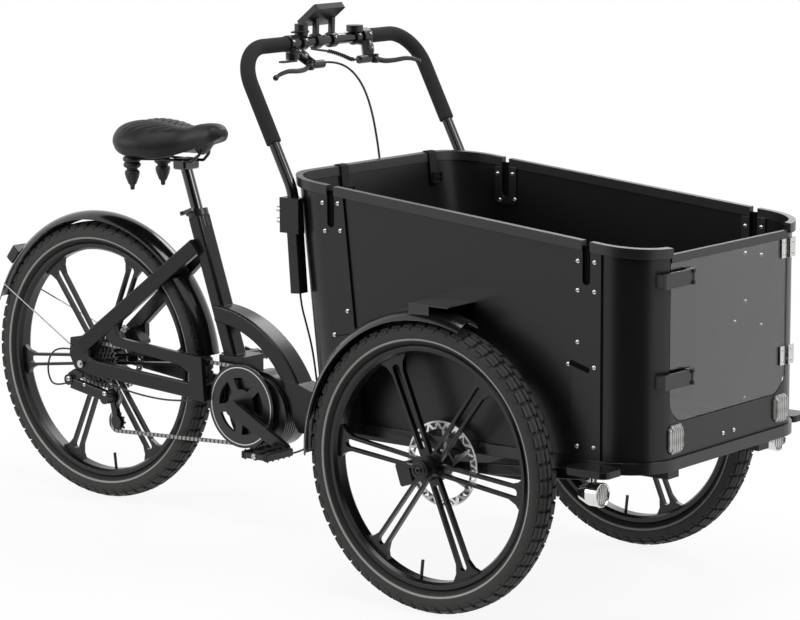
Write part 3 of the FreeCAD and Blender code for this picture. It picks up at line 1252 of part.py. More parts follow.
r1 = door_low - REFLECTOR_DROP
r0 = r1 - REFLECTOR_TALL
loop = [(-half, r0 + cut), (cut - half, r0), (half - cut, r0), (half, r0 + cut), (half, r1 - cut),
        (half - cut, r1), (cut - half, r1), (-half, r1 - cut)]
for s in (-1, 1):
    pts = [V(FRONT_X + TOUCH, (DOOR_HALF - REFLECTOR_IN) * s + y, z) for y, z in loop]
    prisms.append(Part.Face(Part.makePolygon(pts + pts[:1])).extrude(V(REFLECTOR_T, 0, 0)))
save("reflectors", prisms, FRONT_AT)

# Under-frame with king pin, steps with struts, stub axles
rail_top = BASE_Z - FLOOR_DROP - FLOOR_T - TOUCH
upper = HEAD_TOP_UP + BEARING_T + PLATE_CLEAR
lower = HEAD_TOP_UP - HEAD_TALL - BEARING_T - PLATE_CLEAR
axle_y = BOX_HALF + AXLE_OVER
parts = [cyl(V(-TRAIL, 0, lower - LOWER_T), V(-TRAIL, 0, upper + UPPER_T), KING_R),
         box(-AXLE_HALF, AXLE_HALF, -axle_y, axle_y, -AXLE_HALF, AXLE_HALF),
         box(-TRAIL - UPPER_BACK, -UPPER_FRONT, -UPPER_HALF, UPPER_HALF, upper, upper + UPPER_T),
         box(-TRAIL - LOWER_BACK, LOWER_FRONT, -LOWER_HALF, LOWER_HALF, lower - LOWER_T, lower),
         box(HEAD_R + WEB_AHEAD - TRAIL, LOWER_FRONT, -LOWER_HALF, LOWER_HALF, lower, WEB_BITE - AXLE_HALF),
         box(-SPREADER_BACK, -SPREADER_FRONT, -RAIL_OUT, RAIL_OUT,
             rail_top - SPREADER_DROP - SPREADER_TALL, rail_top - SPREADER_DROP)]
parts += both(box(REAR_X + RAIL_REAR_IN, FRONT_X - RAIL_FRONT_IN, RAIL_IN, RAIL_OUT, rail_top - RAIL_TALL,
                  rail_top))
step_top = BASE_Z - STEP_DROP
step = box(FRONT_X - STEP_REAR, FRONT_X - STEP_FRONT, BOX_HALF + STEP_IN, BOX_HALF + STEP_OUT,
           step_top - STEP_T, step_top)
parts += both(step.makeFillet(STEP_ROUND, upright(step, 2, TOUCH)))
strut = [V(STRUT_REAR_X, BOX_HALF - STRUT_REAR_IN, -STRUT_REAR_DROP),
         V(FRONT_X - STRUT_FRONT_BACK, BOX_HALF + STRUT_FRONT_OUT, step_top - STEP_T - STRUT_BITE)]
parts += both(bar(strut[0], strut[1], STRUT_W, STRUT_H, EDGE_ROUND))
parts += both(disc(0, 0, FRONT_AXLE_R, GAP - HALF_TRACK - FRONT_HUB_OUT, AXLE_HALF - axle_y))
plate_y = front_disc_y - CALIPER_HALF_Y - TOUCH
parts += both(box(CALIPER_PLATE_X[0], CALIPER_PLATE_X[1], plate_y - CALIPER_PLATE_T, plate_y,
                  *CALIPER_PLATE_Z))
under = largest(joined(parts).cut(floor))
save("front_subframe", under, FRONT_AT)
lamps = []
x, z = FRONT_X - LAMP_BACK - LAMP_LONG * HALF, BASE_Z - LAMP_DROP
for s in (-1, 1):
    y = (BOX_HALF + LAMP_OUT) * s
    lens = Part.makeCylinder(LAMP_R, LAMP_LONG * HALF, V(x, y, z), V(1, 0, 0))
    tail = Part.makeCone(LAMP_TAIL_R, LAMP_R, LAMP_LONG * HALF, V(x - LAMP_LONG * HALF, y, z), V(1, 0, 0))
    stem = cyl(V(x, y, z), V(x, y, step_top - STEP_T - TOUCH), LAMP_POST_R)
    lamps.append(largest(joined([lens, tail, stem]).cut(under)))
save("headlights", lamps, FRONT_AT)

# Front fenders with their bridges to the box side
crown, edge = FRONT_R + FRONT_FENDER_CROWN_UP, FRONT_R + FRONT_FENDER_EDGE_UP
shell = fender(crown, edge, FRONT_FENDER_HALF, FRONT_FENDER_ANGLES, False)
fill = fender(crown + TOUCH, edge, FRONT_FENDER_HALF, FRONT_FENDER_ANGLES, True)
for q in (shell, fill):
    q.translate(V(0, HALF_TRACK, 0))
y0, y1, z1 = BOX_HALF + BRIDGE_CLEAR, HALF_TRACK + BRIDGE_OVER, crown + BRIDGE_UP
parts = [box(-BRIDGE_REAR, BRIDGE_FRONT, y0, y1, z1 - BRIDGE_T, z1),
         box(-BRIDGE_REAR, BRIDGE_T - BRIDGE_REAR, y0, y1, z1 - BRIDGE_SKIRT, z1),
         box(-BRIDGE_REAR, BRIDGE_FOOT - BRIDGE_REAR, y1 - BRIDGE_T, y1, z1 - BRIDGE_SKIRT, z1),
         box(-BRIDGE_REAR, BRIDGE_FRONT, y0, y0 + BRIDGE_T, z1 - BRIDGE_FOOT, z1)]
save("front_fenders", both(shell) + both(largest(joined(parts).cut(fill))), FRONT_AT)

# Handlebar: one tube bent over both sides, sleeves and clamp blocks at the rear corners, foam grips
wall_foot = V(REAR_X, 0, BASE_Z)
bar_y = BOX_HALF - BAR_IN
foot, knee, crest = [at((x, 0, z), wall_foot) for x, z in (BAR_FOOT, BAR_KNEE, BAR_TOP)]


def on_side(p, s):
    return V(p.x, bar_y * s, p.z)


track = [on_side(p, -1) for p in (foot, knee, crest)] + [on_side(p, 1) for p in (crest, knee, foot)]
rounds = (BAR_KNEE_ROUND, BAR_TOP_ROUND, BAR_TOP_ROUND, BAR_KNEE_ROUND)
handle = pipe(track, BAR_R, rounds)
save("handlebar", handle, FRONT_AT)
grips, clamps = [], []
foam_low = knee + (crest - knee) * FOAM_LOW_SHARE
block_x = (REAR_X + BLOCK_BACK, REAR_X + BLOCK_FRONT)
for s in (-1, 1):
    track = [on_side(foam_low, s), on_side(crest, s), V(crest.x, FOAM_IN_Y * s, crest.z)]
    grips.append(pipe(track, FOAM_R, (BAR_TOP_ROUND,)).cut(handle))
    ends = [on_side(at((x, 0, z), wall_foot), s) for x, z in (SLEEVE_LOW, SLEEVE_HIGH)]
    sleeve = bar(ends[0], ends[1], SLEEVE_W, SLEEVE_W, EDGE_ROUND)
    block = box(block_x[0], block_x[1], bar_y * s - BLOCK_HALF, bar_y * s + BLOCK_HALF,
                BASE_Z + BLOCK_Z[0], BASE_Z + BLOCK_Z[1])
    parts = [sleeve, largest(block.cut(hulls[PANEL_T]))]
    for z in BLOCK_BOLT_ZS:
        bolt = [V(x, bar_y * s, BASE_Z + z)
                for x in (block_x[0] - BLOCK_BOLT_T, block_x[0] + SLEEVE_W * HALF)]
        parts.append(cyl(bolt[0], bolt[1], BLOCK_BOLT_R))
    leg = pipe([on_side(p, s) for p in (foot, knee, crest)], BAR_R + TOUCH, (BAR_KNEE_ROUND,))
    clamps.append(largest(joined(parts).cut(leg).cut(panels).cut(rim)))
save("foam_grips", grips, FRONT_AT)
save("handlebar_clamps", clamps, FRONT_AT)

# Brake levers with their mounts, shifter pod and its lever
mounts = []
for s, name in ((-1, "brake_lever_right"), (1, "brake_lever_left")):
    pivot = at(LEVER_AT, crest, s)
    bend = at((LEVER_BEND[0], bar_y * LEVER_BEND_SHARE, LEVER_BEND[1]), crest, s)
    end, swept = [at((x, bar_y * LEVER_TIP_SHARE, z), crest, s) for x, z in (LEVER_TIP, LEVER_SWEPT)]
    ear, thick = V(0, 0, LEVER_EAR), V(0, 0, LEVER_MID)
    body = bar(at(MOUNT_BODY[0], crest, s), at(MOUNT_BODY[1], crest, s), MOUNT_W, MOUNT_H, EDGE_ROUND)
    tank = disc(crest.x + MOUNT_BODY[1][0], pivot.z, RESERVOIR_R, *ordered(RESERVOIR_Y[0], RESERVOIR_Y[1], s))
    mount = joined([disc(crest.x, crest.z, LEVER_CLAMP_R, *ordered(LEVER_CLAMP_Y[0], LEVER_CLAMP_Y[1], s)),
                    body, tank, cyl(pivot - ear, pivot + ear, LEVER_KNUCKLE_R)])
    room = LEVER_MID + GAP
    zone = cyl(pivot - V(0, 0, room), pivot + V(0, 0, room), LEVER_KNUCKLE_R + LEVER_ZONE)
    ys = sorted((pivot.y, pivot.y + FAR * s))
    gape = box(pivot.x - LEVER_KNUCKLE_R * HALF, pivot.x + FAR, ys[0], ys[1], pivot.z - room, pivot.z + room)
    wedge = bar(pivot, swept, LEVER_W + LEVER_ROOM + LEVER_ROOM, room + room, EDGE_ROUND)
    pin = cyl(pivot - ear, pivot + ear, LEVER_PIN_R)
    mount = mount.cut(zone).cut(gape).cut(wedge).fuse(pin).removeSplitter().cut(handle)
    mounts.append(largest(mount))
    deep = V(0, 0, LEVER_T * HALF)
    blade = [cyl(pivot - thick, pivot + thick, LEVER_KNUCKLE_R),
             bar(pivot, bend, LEVER_W, LEVER_T, EDGE_ROUND),
             bar(bend, end, LEVER_W, LEVER_T, EDGE_ROUND), cyl(bend - deep, bend + deep, LEVER_W * HALF),
             Part.makeSphere(LEVER_BALL_R, end)]
    save(name, joined(blade).cut(cyl(pivot - ear, pivot + ear, LEVER_PIN_R + RUN)), FRONT_AT)
hub = at(SHIFT_AT, crest)
deep, under_pod = V(0, 0, SHIFT_HALF), V(0, 0, SHIFT_HALF + GAP)
pod = [cyl(hub - deep, hub + deep, SHIFT_R),
       bar(at(SHIFT_NECK[0], crest), at(SHIFT_NECK[1], crest), SHIFT_NECK_W, SHIFT_NECK_W, EDGE_ROUND),
       cyl(hub - under_pod - V(0, 0, SHIFT_LEVER_T), hub, LEVER_PIN_R)]
pod = largest(joined(pod).cut(handle).cut(Part.makeCompound(grips)))
mounts[0] = joined([mounts[0], pod])
save("lever_mounts", mounts, FRONT_AT)
z1 = hub.z - SHIFT_HALF - GAP
z0 = z1 - SHIFT_LEVER_T
paddle = [cyl(V(hub.x, hub.y, z0), V(hub.x, hub.y, z1), SHIFT_R * HALF),
          box(hub.x, hub.x + SHIFT_LEVER_W, hub.y - SHIFT_LEVER_LONG, hub.y, z0, z1)]
bore = cyl(V(hub.x, hub.y, z0), V(hub.x, hub.y, z1), LEVER_PIN_R + RUN)
save("shift_lever", joined(paddle).cut(bore), FRONT_AT)

# Bell, control pod and display on the bar
fit = []
for y, r, zs in ((BELL_Y, BELL_R, BELL_Z), (POD_Y, POD_R, POD_Z)):
    ring = disc(crest.x, crest.z, FITTING_CLAMP_R, y - FITTING_CLAMP_HALF, y + FITTING_CLAMP_HALF)
    fit.append(joined([ring, cyl(V(crest.x, y, crest.z + zs[0]), V(crest.x, y, crest.z + zs[1]), r)]))
a, b, c = DISPLAY_L * HALF, DISPLAY_W * HALF, DISPLAY_T * HALF
screen = box(-a, a, -b, b, -c, c)
screen = screen.makeFillet(DISPLAY_ROUND, upright(screen, 2, TOUCH))
screen.rotate(V(0, 0, 0), V(0, -1, 0), DISPLAY_TILT)
screen.translate(at(DISPLAY_AT, crest))
parts = [screen]
for y in DISPLAY_ARM_YS:
    parts.append(disc(crest.x, crest.z, FITTING_CLAMP_R, y - FITTING_CLAMP_HALF, y + FITTING_CLAMP_HALF))
    ends = [at((x, y, z), crest) for x, z in (DISPLAY_ARM_LOW, DISPLAY_ARM_TOP)]
    parts.append(bar(ends[0], ends[1], DISPLAY_ARM_W, DISPLAY_ARM_W, EDGE_ROUND))
fit.append(joined(parts))
save("bar_fittings", [f.cut(handle).cut(Part.makeCompound(mounts)) for f in fit], FRONT_AT)
b0, b1 = [V(crest.x, BELL_Y, crest.z + z) for z in BELL_LEVER_Z]
tab = [cyl(b0, b1, BELL_R + BELL_RING),
       box(crest.x - BELL_LEVER_W * HALF, crest.x + BELL_LEVER_W * HALF,
           BELL_Y - BELL_R - BELL_LEVER_LONG, BELL_Y, b0.z, b1.z)]
save("bell_lever", joined(tab).cut(cyl(b0, b1, BELL_R + RUN)), FRONT_AT)

# Straps over the rear rim with buckles, hoses and cables
bands = []
peak = rim_z(REAR_X) + RIM_OVER + STRAP_STAND
out0, in0 = REAR_X - RIM_OUT - STRAP_BACK, REAR_X + RIM_OUT + STRAP_STAND
lean_o, lean_i = STRAP_OUT_LONG * LEAN_SHARE, STRAP_IN_LONG * LEAN_SHARE
low_o, low_i = peak - STRAP_OUT_LONG, peak - STRAP_IN_LONG
outer = ((out0 - STRAP_T + lean_o, low_o), (out0 - STRAP_T, peak + STRAP_T), (in0 + STRAP_T, peak + STRAP_T),
         (in0 + STRAP_T + lean_i, low_i), (in0 + lean_i, low_i), (in0, peak), (out0, peak),
         (out0 + lean_o, low_o))
x0 = in0 + lean_i + STRAP_T + TOUCH
for share in STRAP_SHARES:
    y = (BOX_HALF - CORNER_R) * share
    bands.append(side(outer, y - STRAP_W * HALF, y + STRAP_W * HALF))
    bands.append(box(x0, x0 + BUCKLE_T, y - BUCKLE_WIDE * HALF, y + BUCKLE_WIDE * HALF,
                     low_i, low_i + BUCKLE_TALL))
save("straps", bands, FRONT_AT)


def routed(route, base):
    return [V(*p) + base for p in route]


here = V(0, 0, 0)
cords = [pipe(routed(HOSE_RIGHT, here), HOSE_R), pipe(routed(HOSE_LEFT, here), HOSE_R),
         pipe(routed(LEAD, V(0, -bar_y, 0)), LEAD_R)]
solid = Part.makeCompound(mounts + clamps + [floor])
save("front_cables", [largest(c.cut(solid)) for c in cords], FRONT_AT)
cords = [pipe(routed(SHIFT_LOOP, REAR_AT), CABLE_R), pipe(routed(STAY_CABLE, REAR_AT), CABLE_R),
         pipe(routed(MOTOR_LEAD, CRANK_AT), CABLE_R)]
solid = Part.makeCompound(halves + [mech, motor, main])
save("frame_cables", [largest(c.cut(solid)) for c in cords])
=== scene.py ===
import math
import bmesh
import bpy
import numpy as np
from mathutils import Matrix, Vector


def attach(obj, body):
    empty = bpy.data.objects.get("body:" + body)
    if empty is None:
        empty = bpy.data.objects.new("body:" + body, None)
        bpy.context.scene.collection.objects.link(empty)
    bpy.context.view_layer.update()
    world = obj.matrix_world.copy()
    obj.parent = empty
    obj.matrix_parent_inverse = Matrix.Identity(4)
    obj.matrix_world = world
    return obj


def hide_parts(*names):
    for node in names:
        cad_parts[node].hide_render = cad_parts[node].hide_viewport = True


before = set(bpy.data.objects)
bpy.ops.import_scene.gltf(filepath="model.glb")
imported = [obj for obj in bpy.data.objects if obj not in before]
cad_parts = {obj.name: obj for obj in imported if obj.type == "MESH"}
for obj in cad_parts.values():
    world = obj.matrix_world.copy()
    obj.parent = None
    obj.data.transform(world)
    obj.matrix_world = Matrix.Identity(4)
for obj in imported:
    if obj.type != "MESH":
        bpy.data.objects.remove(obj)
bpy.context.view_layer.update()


# ---------------------------------------------------------------- frame
# The frame is welded from aluminium: a square seat tube, an arched tube and a boxed beam to the
# steering head, with flat stays to the rear axle. It is powder coated in semi-gloss black,
# with a faint orange peel.

class Wire:
    """A socket of a finish. Sums, products and comparisons of wires add Math nodes."""

    def __init__(self, tree, socket):
        self.tree = tree
        self.socket = socket

    def node(self, kind, settings=None, values=None, out=0):
        added = self.tree.nodes.new("ShaderNode" + kind)
        for key, value in (settings or {}).items():
            setattr(added, key, value)
        for key, value in (values or {}).items():
            if isinstance(value, Wire):
                self.tree.links.new(value.socket, added.inputs[key])
            else:
                added.inputs[key].default_value = value
        return Wire(self.tree, added.outputs[out])

    def maths(self, operation, *values):
        return self.node("Math", {"operation": operation}, dict(enumerate((self, *values))))

    def __add__(self, other):
        return self.maths("ADD", other)

    def __mul__(self, other):
        return self.maths("MULTIPLY", other)

    def __sub__(self, other):
        return self.maths("SUBTRACT", other)

    def __rsub__(self, other):
        return self.maths("MULTIPLY", -1.0) + other

    def __truediv__(self, other):
        return self.maths("DIVIDE", other)

    def __gt__(self, other):
        return self.maths("GREATER_THAN", other)

    def __lt__(self, other):
        return self.maths("LESS_THAN", other)

    def __abs__(self):
        return self.maths("ABSOLUTE")

    __radd__ = __add__
    __rmul__ = __mul__

    def root(self):
        return self.maths("SQRT")

    def wave(self):
        return self.maths("SINE")


def tone(shade):
    """A colour as it is, and a bare number as an even grey."""
    return (shade,) * 3 if isinstance(shade, float) else shade


class Finish:
    """A named finish: one shader, its grain, and what is painted over it."""

    drift_scale, drift_share = 7.0, 0.4

    def __init__(self, name, colour, roughness, constants=None, centre=(0, 0, 0), soft=0.0):
        self.soft = soft
        self.material = bpy.data.materials.new(name)
        self.material.use_nodes = True
        self.tree = self.material.node_tree
        self.shader = self.tree.nodes["Principled BSDF"]
        self.shader.inputs["Base Color"].default_value = (*tone(colour), 1)
        self.shader.inputs["Roughness"].default_value = roughness
        for key, value in (constants or {}).items():
            self.shader.inputs[key].default_value = value
        self.colour = tone(colour)
        self.roughness = roughness
        start = Wire(self.tree, None).node("TexCoord", out="Object")
        self.place = start.node("VectorMath", {"operation": "SUBTRACT"}, {0: start, 1: centre})
        self.paint = None

    def feed(self, name, value):
        self.tree.links.new(value.socket, self.shader.inputs[name])

    def axes(self):
        return [self.place.node("SeparateXYZ", None, {0: self.place}, out=k) for k in range(3)]

    def radius(self):
        x, _, z = self.axes()
        return (x * x + z * z).root()

    def noise(self, scale, detail=4.0, stretch=(1, 1, 1)):
        place = self.place.node("VectorMath", {"operation": "MULTIPLY"},
                                {0: self.place, 1: stretch})
        return place.node("TexNoise", None, {"Vector": place, "Scale": scale, "Detail": detail})

    def mix(self, mask, one, other):
        values = {0: mask}
        for key, shade in ((6, one), (7, other)):
            values[key] = shade if isinstance(shade, Wire) else (*tone(shade), 1)
        return mask.node("Mix", {"data_type": "RGBA"}, values, out=2)

    def relief(self, height, depth):
        values = {"Height": height, "Distance": depth}
        if self.soft:
            values["Normal"] = height.node("Bevel", {"samples": 4}, {"Radius": self.soft})
        self.feed("Normal", height.node("Bump", None, values))

    def grained(self, scale, colour_share, gloss_share, depth, stretch=(1, 1, 1)):
        """Uneven colour, gloss and relief of one grain, with a broad drift under it."""
        grain = self.noise(scale, stretch=stretch)
        drift = self.noise(self.drift_scale, 2.0)
        mask = grain * (1 - self.drift_share) + drift * self.drift_share
        low, high = [[c * (1 + s * colour_share) for c in self.colour] for s in (-1, 1)]
        self.paint = self.mix(mask, low, high)
        self.feed("Base Color", self.paint)
        self.gloss = mask * (2 * gloss_share * self.roughness) + self.roughness * (1 - gloss_share)
        self.feed("Roughness", self.gloss)
        self.relief(grain, depth)
        return self

    def painted(self, mask, colour, roughness=None, metallic=None):
        """Another colour where the mask is 1."""
        self.paint = self.mix(mask, self.paint, colour)
        self.feed("Base Color", self.paint)
        if roughness is not None:
            self.gloss = self.gloss * (1 - mask) + mask * roughness
            self.feed("Roughness", self.gloss)
        if metallic is not None:
            self.feed("Metallic", mask * metallic)
        return self


def dress(finish, *names):
    for name in names:
        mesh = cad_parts[name].data
        mesh.materials.clear()
        mesh.materials.append(finish.material)


BLACK = (0.006, 0.006, 0.0061)
frame_paint = Finish("frame_paint", BLACK, 0.26, {"Specular IOR Level": 0.34}, soft=0.0022)
frame_paint.grained(900.0, 0.12, 0.25, 0.00004)
dress(frame_paint, "main_frame", "rear_triangle", "front_subframe")

anodised = Finish("black_anodising", (0.011, 0.011, 0.0112), 0.3, {"Metallic": 0.2}, soft=0.0015)
anodised.grained(2500.0, 0.2, 0.3, 0.00002)
dress(anodised, "seat_clamp", "seat_clamp_lever", "rear_caliper", "front_calipers")

plated_steel = Finish("plated_steel", (0.52, 0.52, 0.51), 0.26, {"Metallic": 1.0})
plated_steel.grained(1400.0, 0.12, 0.3, 0.00002, (1, 1, 0.1))
dress(plated_steel, "head_bearings", "rear_axle")
plated_black = Finish("black_plating", 0.02, 0.22, {"Metallic": 0.6})
plated_black.grained(1400.0, 0.15, 0.3, 0.00002)


# ---------------------------------------------------------------- motor and crank
# The motor is a cast housing hung under the beam, with cooling ribs worked into its round face.
# Forged black cranks turn on it, and the chainring carries a plastic guard with one bright ring.

CRANK_AXLE = (-0.2407, 0, 0.283)
motor_cast = Finish("motor_casting", (0.011, 0.011, 0.0112), 0.24, soft=0.0018)
motor_cast.grained(1100.0, 0.2, 0.3, 0.00012)
dress(motor_cast, "motor_housing")

dress(anodised, "crankset")
guard_plastic = Finish("ring_guard", 0.009, 0.26, None, CRANK_AXLE, 0.001)
guard_plastic.grained(1500.0, 0.2, 0.3, 0.00003)
RING_FROM, RING_TO, GUARD_FACE = 0.0882, 0.0905, -0.0512
from_axle = guard_plastic.radius()
across = guard_plastic.axes()[1]
bright_ring = (from_axle > RING_FROM) * (from_axle < RING_TO) * (across < GUARD_FACE)
guard_plastic.painted(bright_ring, (0.62, 0.62, 0.61), 0.3, 0.9)
dress(guard_plastic, "chainring")


# ---------------------------------------------------------------- chain and gears
# A bushed roller chain runs from the ring over one of eight steel sprockets and two plastic
# jockey wheels. It is bright where the plates rub, with painted shade darkening it between the
# links.

chain_steel = Finish("chain_steel_gap_shade", (0.33, 0.33, 0.32), 0.36, {"Metallic": 1.0})
chain_steel.grained(420.0, 0.55, 0.4, 0.00005)
LINK_PITCH = 0.0127
links = chain_steel.axes()[0] * (math.tau / LINK_PITCH)
# Painted shade: the chain is darkened in bands at the link pitch, where the gaps between the links
# fall in shade.
chain_steel.painted((links.wave() > 0.35) * 0.85, 0.02)
dress(chain_steel, "chain")
sprocket_steel = Finish("sprocket_steel", 0.2, 0.4, {"Metallic": 1.0})
sprocket_steel.grained(300.0, 0.5, 0.4, 0.00003)
dress(sprocket_steel, "cassette")
gear_black = Finish("gear_black", (0.01, 0.01, 0.0102), 0.3, {"Metallic": 0.15}, soft=0.001)
gear_black.grained(1600.0, 0.25, 0.3, 0.00004)
dress(gear_black, "rear_derailleur", "guide_pulley", "tension_pulley")


# ---------------------------------------------------------------- pedals
# Moulded cage pedals with raised grip pins turn on plain spindles. A bright cap closes each
# outer end.

WELD = 1e-6


def made(name, form, finish, body, crease=30.0, at=(0, 0, 0)):
    """A mesh piece in place, smooth except at its edges, riding on its body."""
    mesh = bpy.data.meshes.new(name)
    mesh.from_pydata([tuple(p) for p in form.points], [], form.faces)
    work = bmesh.new()
    work.from_mesh(mesh)
    bmesh.ops.remove_doubles(work, verts=work.verts, dist=WELD)
    bmesh.ops.recalc_face_normals(work, faces=work.faces)
    work.to_mesh(mesh)
    work.free()
    mesh.shade_smooth()
    mesh.set_sharp_from_angle(angle=math.radians(crease))
    mesh.materials.append(finish.material)
    piece = bpy.data.objects.new(name, mesh)
    piece.location = at
    bpy.context.scene.collection.objects.link(piece)
    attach(piece, body)
    return piece


def quads(rows, columns, first=0, wrap_rows=False, wrap_columns=True):
    """Faces of a grid of points, closed round its columns or rows."""
    found = []
    for i in range(rows if wrap_rows else rows - 1):
        for j in range(columns if wrap_columns else columns - 1):
            a, b = i * columns, (i + 1) % rows * columns
            k = (j + 1) % columns
            found.append((first + a + j, first + a + k, first + b + k, first + b + j))
    return found


class Form:
    """Points and faces of a piece while it is put together."""

    def __init__(self, points=()):
        self.points = list(points)
        self.faces = []

    def skin(self, first, columns):
        """Faces over rows of points, from the first point on, with one more over each end."""
        count = len(self.points)
        self.faces += quads((count - first) // columns, columns, first)
        self.faces.append(tuple(range(first, first + columns)))
        self.faces.append(tuple(range(count - columns, count)))


def block(form, corner, opposite, bevel):
    """A box between two corners, with chamfered edges."""
    low, high = Vector(np.minimum(corner, opposite)), Vector(np.maximum(corner, opposite))
    cube = bmesh.new()
    bmesh.ops.create_cube(cube, size=1.0)
    bmesh.ops.scale(cube, vec=high - low, verts=cube.verts)
    bmesh.ops.translate(cube, vec=(high + low) / 2, verts=cube.verts)
    bmesh.ops.bevel(cube, geom=cube.edges, offset=bevel, segments=2, affect="EDGES")
    cube.verts.index_update()
    first = len(form.points)
    form.points += [v.co.copy() for v in cube.verts]
    form.faces += [tuple(first + v.index for v in f.verts) for f in cube.faces]
    cube.free()


def turned(form, profile, base, axis, steps=32):
    """A turned form: rings of (radius, height) on an axis."""
    base, axis = Vector(base), Vector(axis)
    across = axis.orthogonal().normalized()
    over = axis.cross(across)
    first = len(form.points)
    for r, rise in profile:
        for i in range(steps):
            a = math.tau * i / steps
            form.points.append(base + axis * rise + (across * math.cos(a) + over * math.sin(a)) * r)
    form.skin(first, steps)


pedal_plastic = Finish("pedal_plastic", 0.0105, 0.42)
pedal_plastic.grained(900.0, 0.25, 0.25, 0.00012)
BARREL_Y, BARREL = 0.0945, ((0.0085, 0), (0.0098, 0.003), (0.0098, 0.086), (0.0085, 0.089))
CAGE_FROM, CAGE_TO, CAGE_REACH, RAIL_HALF, RAIL_TALL = 0.093, 0.185, 0.0325, 0.0055, 0.0085
PIN_FROM, PIN_PITCH, PIN_FOOT = 0.102, 0.0185, 0.008
GRIP_PIN = ((0.0024, 0), (0.0022, 0.003), (0.0014, 0.0038))
CROSSBARS, BAR_REACH, BAR_WIDE = (0.0925, 0.117, 0.1535, 0.1785), 0.033, 0.0065
CAP_Y = 0.1848
PEDAL_CAP = ((0.0066, 0), (0.0066, 0.0015), (0.005, 0.0027), (0.0026, 0.0029), (0.0022, 0.0014))
for side, sign, x, z in (("right", -1, -0.0879, 0.2085), ("left", 1, -0.3935, 0.3575)):
    body = "pedal_%s_body" % side
    form = Form()
    turned(form, BARREL, (x, BARREL_Y * sign, z), (0, sign, 0))
    for rail in (x - CAGE_REACH, x + CAGE_REACH):
        block(form, (rail - RAIL_HALF, CAGE_FROM * sign, z - RAIL_TALL),
              (rail + RAIL_HALF, CAGE_TO * sign, z + RAIL_TALL), 0.0018)
        for k in range(5):
            for up in (-1, 1):
                pin = (rail, sign * (PIN_FROM + PIN_PITCH * k), z + PIN_FOOT * up)
                turned(form, GRIP_PIN, pin, (0, 0, up), 10)
    for near in CROSSBARS:
        block(form, (x - BAR_REACH, near * sign, z - BAR_WIDE),
              (x + BAR_REACH, (near + BAR_WIDE) * sign, z + BAR_WIDE), 0.0014)
    pedal = made("cage_pedal_" + side, form, pedal_plastic, body)
    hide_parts("pedal_" + side)
    form = Form()
    turned(form, PEDAL_CAP, (x, CAP_Y * sign, z), (0, sign, 0), 24)
    made("pedal_cap_" + side, form, plated_steel, body)


# ---------------------------------------------------------------- rear wheel
# A cast wheel with six double spokes carries a balloon tyre with a block tread and a pale
# reflecting line moulded into each side. The disc brake's rotor is ground steel.

REAR_RADIUS = 0.332
REAR_HUB = (-0.7187, 0, REAR_RADIUS)
cast_paint = Finish("cast_wheel_paint", (0.0065, 0.0065, 0.0067), 0.27,
                    {"Specular IOR Level": 0.4}, soft=0.0018)
cast_paint.grained(700.0, 0.15, 0.3, 0.00006)
dress(cast_paint, "rear_wheel", "front_wheel_right", "front_wheel_left")

ROTOR_METAL, ROTOR_TEETH, WINDOW_FROM, WINDOW_DEEP, WEB_HALF = 0.85, 22, 0.0705, 0.0155, 0.3


def ground_steel(name, centre):
    """Ground rings, with the windows between slanting webs round the disc painted dark as painted
    shade.
    """
    disc = Finish(name, (0.78, 0.78, 0.77), 0.34, {"Metallic": ROTOR_METAL}, centre)
    disc.grained(500.0, 0.12, 0.3, 0.00001)
    line = disc.radius() * 2600.0
    place = line.node("CombineXYZ", None, {0: line})
    rings = line.node("TexNoise", None, {"Vector": place, "Scale": 1.0, "Detail": 2.0})
    disc.relief(rings, 0.00003)
    x, _, z = disc.axes()
    turn = z.maths("ARCTAN2", x) * (ROTOR_TEETH / math.tau) + ROTOR_TEETH / 2
    teeth = abs(turn.maths("FRACT") * 2 - 1)
    band = (disc.radius() - WINDOW_FROM) / WINDOW_DEEP
    # Painted shade: the windows are painted near black and not metallic, where a cut disc would
    # show the shade behind it.
    window_shade = (abs(teeth - band) > WEB_HALF) * (band > 0.0) * (band < 1.0)
    disc.painted(window_shade * 0.9, 0.012, 0.5)
    disc.feed("Metallic", (1 - window_shade) * ROTOR_METAL)
    return disc


dress(ground_steel("rear_disc_steel", REAR_HUB), "rear_rotor")

TYRE_SIDE, GROOVE_DEEP, LINE_FROM, LINE_TO = 0.024, 0.0042, 0.0402, 0.0362


def tyre_rubber(name, radius):
    rubber = Finish(name, (0.037, 0.037, 0.0355), 0.64, {"Specular IOR Level": 0.3})
    rubber.grained(800.0, 0.3, 0.15, 0.0001)
    from_hub = rubber.radius()
    side = abs(rubber.axes()[1]) > TYRE_SIDE
    ribs = (from_hub * 2400.0).wave() * side
    rubber.relief(ribs + rubber.noise(700.0), 0.00012)
    # Painted shade: the carcass between the lugs on the crown is darkened, where the recesses fall
    # in shade.
    groove_shade = (from_hub < radius - GROOVE_DEEP) * (1 - side)
    rubber.painted(groove_shade * 0.7, 0.006)
    line = (from_hub > radius - LINE_FROM) * (from_hub < radius - LINE_TO) * side
    return rubber.painted(line, (0.34, 0.34, 0.32), 0.45)


TYRE_DROP = np.array([5.4, 5.5, 6.0, 7.3, 10, 13.5, 19.5, 27, 33, 36.2, 40.3, 45, 50]) / 1000
TYRE_HALF = np.array([0, 5, 11, 17, 22, 25.8, 28.2, 29, 28.6, 27.9, 25.8, 22, 17]) / 1000
# A lug is an outline in millimetres, round the tyre and out from its crown, and a height.
LUGS = ((((-14.2, 0.8), (8.5, 0.8), (14.4, 5.6), (10, 10.8), (-9, 10.8), (-14.4, 6.0)), 5.2),
        (((-12.5, 12.4), (11, 12.4), (14.6, 18), (13, 26.5), (-11, 26.5), (-14.4, 19)), 4.4),
        (((-10.5, 28), (8.5, 28), (6, 34), (-8, 34)), 2.0))


